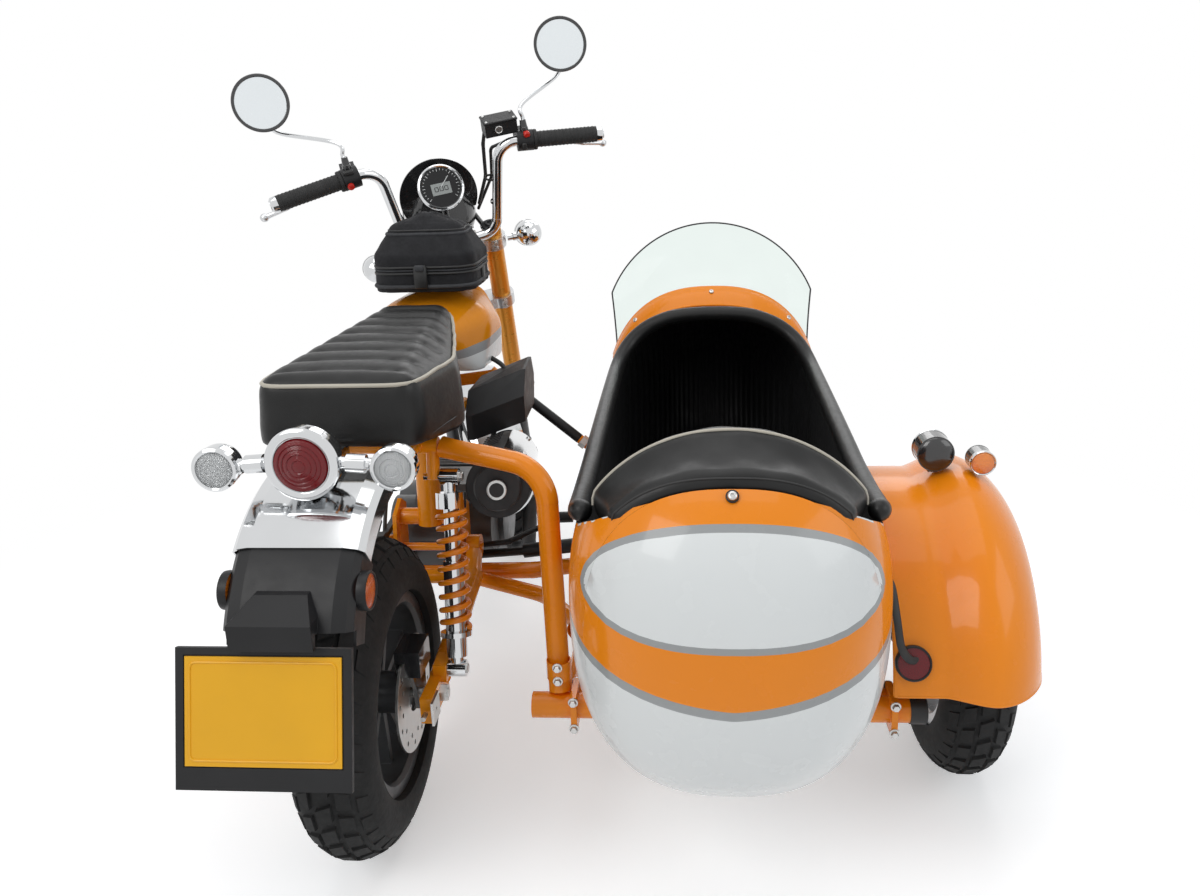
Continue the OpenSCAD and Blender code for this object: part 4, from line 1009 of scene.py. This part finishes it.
def add_exhaust_details():
    front, rear = vec(150, 540, 478), vec(197, 170, 552)
    u = unit(rear - front)
    piece = Piece("muffler_trim", "root", BIKE, "heatproof steel chrome")
    for t in (0.0, 0.985):
        piece.add(turned(front + (rear - front) * t, u, [(-3, 53), (-3, 55.4), (3, 55.4), (3, 53)], 56))
    piece.add(turned(front + (rear - front) * 1.04, u, [(-14, 40), (-2, 41), (2, 38), (3, 20), (3, 15.6)], 48))
    piece.add(turned(front + (rear - front) * 1.1, u,
                     [(-8, 16.6), (0.6, 16.8), (1.2, 15), (1, 12.4), (-20, 12), (-20, 0)], 32), "steel")
    side = unit(np.cross(u, (0, 0, 1)))
    top = np.cross(side, u)
    for t in (0.2, 0.8):
        for a in (25, 135):
            r = radians(a)
            d = side * cos(r) + top * sin(r)
            d = d if d[0] > -0.4 else -d
            piece.add(screw(front + (rear - front) * t + d * 62, d, 5, 3), "steel")
    d = side * cos(radians(72)) + top * sin(radians(72))
    d = d if d[2] > 0 else -d
    for t in np.linspace(0.3, 0.72, 6):
        c = front + (rear - front) * t + d * 62.2
        w = np.cross(u, d)
        piece.add(tube([c - w * 18, c, c + w * 18], 2.2, 8, across=(1, 0.5)))
    piece.done()


GRIP = vec(227, -34, -14)  # from the grip's inner end at x = 130 to its outer end


def along_grip(x):
    return vec(130, -8, 1202) + (x - 130) / GRIP[0] * GRIP


def add_bar_details():
    grip_way = unit(GRIP)
    axle = local(FORK, [FRONT_HUB])[0]
    trim = Piece("bar_trim", "steering", FORK, "chrome satin red steel hose grip")
    trim.add(both(turned(along_grip(343), grip_way, [(-1, 16.8), (1, 17), (10, 16), (13, 12), (14, 5), (14, 0)], 32)))
    ridge = [(-2.2, 16.2), (-1.2, 17.2), (1.2, 17.2), (2.2, 16.2)]
    for x in np.linspace(222, 334, 15):
        trim.add(both(turned(along_grip(x), grip_way, ridge, 32)), "grip")
    trim.add(both(turned(along_grip(209), grip_way, [(-3, 20.6), (-2, 21.6), (2, 21.6), (3, 20.6)], 32)), "grip")
    trim.add(bar(along_grip(190) + (0, -14, 20), (13, 12, 12), 2.5), "red")
    trim.add(bar(along_grip(181) + (0, -22, -4), (10, 8, 16), 2), "hose")
    trim.add(flip(bar(along_grip(190) + (0, -14, 20), (20, 10, 9), 2)), "hose")
    trim.add(flip(turned(along_grip(192) + (0, -24, -6), REAR_WAY, [(-6, 7), (3, 7), (4, 5), (4, 0)], 20)), "red")
    cap = along_grip(176) + (-34, 24, 49)
    trim.add(bar(cap, (74, 44, 5), 1.6), "satin")
    for x, y in product((-30, 30), (-16, 16)):
        trim.add(screw(cap + (x, y, 2.4), (0, 0, 1), 3, 2), "steel")
    trim.add(turned(cap + (-6, -20, -16), REAR_WAY, [(-2, 8.5), (2, 8.5), (3, 7.4), (2, 6.4), (2, 0)], 24), "steel")
    clip = [(-2.5, 12.5), (-2.5, 13.2), (2.5, 13.2), (2.5, 12.5)]
    for x, z in ((106, 1120), (110.24, 1060)):
        trim.add(turned((x, 2, z), (0.14, 0, 1), clip, 20), "hose")
    trim.add(both(turned((94, axle[1], 988), (0, 0, 1),
                         [(-1, 22), (3, 22), (4, 20), (4, 14), (8, 13), (8, 8), (5, 7), (5, 0)], 36)), "satin")
    trim.add(both(turned((94, axle[1], 986), (0, 0, 1), [(0, 22.6), (0, 24), (3, 24), (3, 22.6)], 36)))
    for z in (781, 795, 942, 956):
        trim.add(both(bolt((94, axle[1] - 30, z), REAR_WAY, 5, 5)), "steel")
    for x, y in product((22, 46), (-18, 10)):
        trim.add(both(bolt((x, y, 1006), (0, 0, 1), 4, 5)), "steel")
    trim.add(turned((0, 0, 961), (0, 0, 1), [(0, 20), (4, 20), (7, 17), (7, 10), (4, 9), (4, 0)], 36))
    trim.done()

    centre = vec(322, 112, 1336)
    base = along_grip(190) + (0, 4, 22.5)
    axis = vec(-0.208, -0.886, 0.413)
    low = centre - vec(0.094, 0.402, 0.911) * 42 - axis * 6
    stem = smooth_line([base, base + (2, 8, 22), base + (8, 24, 46), low - (22, 4, 24), low], 8)
    mirror = Piece("mirror_heads", "steering", FORK, "gloss chrome mirror")
    head = [(-9, 0), (-8, 14), (-5, 38), (0, 50), (4.5, 55.2), (9, 57.4), (13, 57.4), (14.4, 56), (14.4, 51.5),
            (12.4, 50.5)]
    mirror.add(both(turned(centre, axis, head, 64)))
    mirror.add(both(turned(centre, axis, [(12.4, 51), (12.9, 40), (13.1, 20), (13.1, 0)], 64)), "mirror")
    mirror.add(both(tube(stem, 4.2, 14)), "chrome")
    mirror.add(both(turned(base, (0, 0.2, 1), [(-4, 9), (6, 9), (7, 8), (22, 6.5), (22, 0)], 24)))
    mirror.done("mirrors")

    dial_axis = vec(0, -sin(radians(51)), cos(radians(51)))
    at = vec(0, 56, 1092)
    face = Piece("dial", "steering", FORK, "chrome dial mark satin glass")
    face.add(turned(at, dial_axis, [(4, 51.2), (13, 51.8), (17, 50), (18, 47), (15, 44.5), (14.4, 44.5)], 64))
    face.add(turned(at, dial_axis, [(14.6, 44.4), (14.8, 0)], 64), "satin")
    u = vec(1, 0, 0)
    v = np.cross(dial_axis, u)
    for k in range(25):
        a = radians(-130 + k * 260 / 24 + 90)
        d = u * cos(a) + v * sin(a)
        long = 6 if k % 4 == 0 else 3.4
        face.add(tube([at + dial_axis * 15 + d * 41, at + dial_axis * 15 + d * (41 - long)], 0.7, 6), "mark")
    axes = (u, v, dial_axis)
    face.add(bar(at + dial_axis * 15.2 - v * 4, (44, 26, 1.6), 0.6, axes), "dial")
    for x, end in product((-11, 0, 11), (-1, 1)):
        middle = at + dial_axis * 16.2 - v * 4 + u * x
        face.add(bar(middle + v * end * 4.5, (7, 1.4, 0.5), 0.2, axes), "satin")
        face.add(bar(middle + u * end * 3.6, (1.4, 8, 0.5), 0.2, axes), "satin")
    face.add(tube([at + dial_axis * 16, at + dial_axis * 16 + (u * 0.7 + v * 0.7) * 30], 0.9, 6), "mark")
    face.done()

    lamp = Piece("headlight_glass", "steering", FORK, "clear chrome")
    ahead = vec(0, sin(radians(115)), cos(radians(115)))
    centre = vec(0, 134, 990)
    lamp.add(turned(centre, ahead, [(52, 76), (56, 72), (60, 50), (63, 25), (64, 0)], 64))
    lamp.add(turned(centre, ahead, [(38, 84.6), (50, 85), (56, 82), (57, 78), (53, 75)], 64), "chrome")
    for side in (-1, 1):
        signal = vec(side * 180, axle[1], 944)
        lamp.add(turned(signal, ahead, [(18, 29.5), (24, 27), (28, 18), (29, 0)], 40))
        lamp.add(turned(signal, ahead, [(10, 30.4), (18, 31.4), (20, 30), (19, 28)], 40), "chrome")
        lamp.add(turned(signal + (-side * 30, 0, 0), (side, 0, 0), [(-10, 8), (-8, 10), (0, 10), (2, 8)], 24), "chrome")
    lamp.done()


def add_car_details():
    trim = Piece("sidecar_trim", "root", CAR, "steel chrome hose satin orange carpet")
    trim.add(screw((0, -198.5, 679), (0, -0.75, 0.66), 6.5, 4))
    trim.add(turned((0, -197.5, 678), (0, -0.75, 0.66), [(-1, 9), (1, 9), (1.6, 7)], 28), "satin")
    for side in (-1, 1):
        trim.add(screw((side * (car_x(60, 520) + 0.3), 30, 520), (side, 0, 0.1), 5, 3), "satin")
        trim.add(screw((side * (car_x(700, 560) + 0.3), 700, 560), (side, 0, 0.1), 5, 3))
    strap = smooth_line([(240, 4, 470), (248, -18, 462), (253, -46, 420), (259, -56, 380), (272, -54, 358),
                         (286, -46, 350)], 8)
    trim.add(tube(strap, 6.5, 12, across=(1.0, 0.45)), "hose")
    trim.add(turned((240, 0, 474), (1, -0.4, 0), [(-2, 10), (3, 10), (5, 7), (5, 0)], 28))
    trim.add(turned((314.5, 0, 236), (1, 0, 0), [(-26, 21.4), (-26, 22.6), (-1, 22.6), (1, 20), (1, 0)], 32), "hose")
    for x, z, way in product((-244, 262), (212, 260), (-1, 1)):
        trim.add(bolt((x, way * 30.6, z), (0, way, 0), 6, 6))
    for y, x in product((300, 860), (-248, 248)):
        trim.add(turned((x, y, 236), FRONT_WAY, [(-14, 19.4), (-14, 22), (14, 22), (14, 19.4)], 32), "orange")
        trim.add(bolt((x, y, 257), (0, 0, 1), 6, 6))
    trim.add(bar((0, 250, 294.5), (440, 400, 3), 1), "carpet")
    trim.done()

    lamp = Piece("fender_lamp_glass", "root", CAR, "chrome amber gloss clear reflector satin")
    at = vec(358, 225, 594)
    lamp.add(turned(at, REAR_WAY, [(14, 31), (19, 30.5), (24, 27), (27.5, 18), (29, 8), (29.2, 0)], 56), "gloss")
    lamp.add(turned(at, FRONT_WAY, [(14, 31.4), (18, 32), (20.6, 30), (20, 27.5), (19, 27)], 56))
    lamp.add(turned(at, FRONT_WAY, [(19, 27.4), (23, 22), (25, 12), (25.5, 0)], 56), "clear")
    at = vec(432, 205, 583)
    lamp.add(turned(at, REAR_WAY, [(10, 21.2), (17, 21.8), (19, 20.4), (18, 18.6)], 48))
    lamp.add(turned(at, REAR_WAY, [(17, 18.8), (20, 17), (22, 10), (22.5, 0)], 48), "amber")
    lamp.add(turned(at, FRONT_WAY, [(15, 21.4), (20, 20), (24, 14), (26, 6), (26, 0)], 48))
    lean = radians(19)
    out = vec(0, -cos(lean), sin(lean))
    at = vec(281, 238, 248) + out * 295.3
    lamp.add(turned(at, out, [(1, 27.4), (8, 27.4), (9.6, 26), (9.4, 24.2), (8.4, 23.8)], 48), "satin")
    lamp.add(turned(at, out, [(8.2, 24), (8.8, 16), (9.2, 8), (9.3, 0)], 48), "reflector")
    lamp.done()


def add_mount_details():
    piece = Piece("mount_hardware", "root", BIKE, "orange steel satin")
    for at, axis in (((311, 6, 300), (0, 0, 1)), ((318, 520, 246), (0.3, 1, 0)), ((318, 250, 239), (0.3, 1, 0))):
        piece.add(turned(at, axis, [(-16, 18.4), (-16, 20), (16, 20), (16, 18.4)], 32))
    for z in (-12, 12):
        piece.add(bolt((311, -14, 300 + z), (0, -1, 0), 6, 6), "steel")
    piece.add(bolt((341, 596, 470), (1, 0, 0), 7, 6), "steel")
    a, b = vec(104, 636, 640), vec(332, 601, 461)
    u = unit(b - a)
    for t in (0.12, 0.86):
        piece.add(turned(a + (b - a) * t, u, [(-7, 12), (-7, 14), (7, 14), (7, 12)], 6), "steel")
    piece.add(tube([a + (b - a) * 0.16, a + (b - a) * 0.82], 10.6, 20), "satin")
    piece.done()
    hose = Piece("hoses", "root", BIKE, "hose steel")
    path = [(112, 600, 676), (138, 590, 660), (150, 560, 640), (146, 520, 600), (120, 505, 520), (96, 520, 430)]
    hose.add(tube(smooth_line(path), 5, 12))
    hose.add(tube(smooth_line([(-60, 620, 600), (-92, 560, 520), (-96, 470, 430), (-90, 400, 350)]), 4, 10))
    hose.done()


# The CAD nodes that are shown as they are, by look.
LOOKS = {
    "yellow": "frame swingarm", "orange": "sidecar_chassis bike_mounts",
    "graphite": "engine fork_sliders front_rim rear_rim side_axle",
    "plastic": "side_covers chain_guard plate_frame switchgear", "heatproof": "exhaust",
    "chrome": "heat_shield shock_absorbers rear_fender lamp_housings handlebar front_signals front_fender",
    "steel": "rear_axle front_disc rear_disc", "gloss": "rear_caliper headlight meter front_caliper fender_lamps",
    "satin": "fender_extension foot_pegs", "plate": "number_plate", "amber": "side_reflectors", "gold": "fork_tubes",
    "silver": "fork_clamps levers side_rim", "grip": "grips", "hose": "control_cables",
}


def main():
    add_camera()
    add_lamps()
    add_world()
    add_floor()
    bpy.context.scene.view_settings.view_transform = "Standard"
    for look, nodes in LOOKS.items():
        for node in nodes.split():
            mesh = NODES[node].data
            mesh.materials.clear()
            mesh.materials.append(M[look])
    add_car_body()
    add_car_seats()
    add_screen()
    add_car_fender()
    add_wheels()
    add_springs()
    add_bike_seat()
    add_seat_trim()
    add_tank()
    add_bag()
    add_rear_details()
    add_exhaust_details()
    add_bar_details()
    add_car_details()
    add_mount_details()


main()
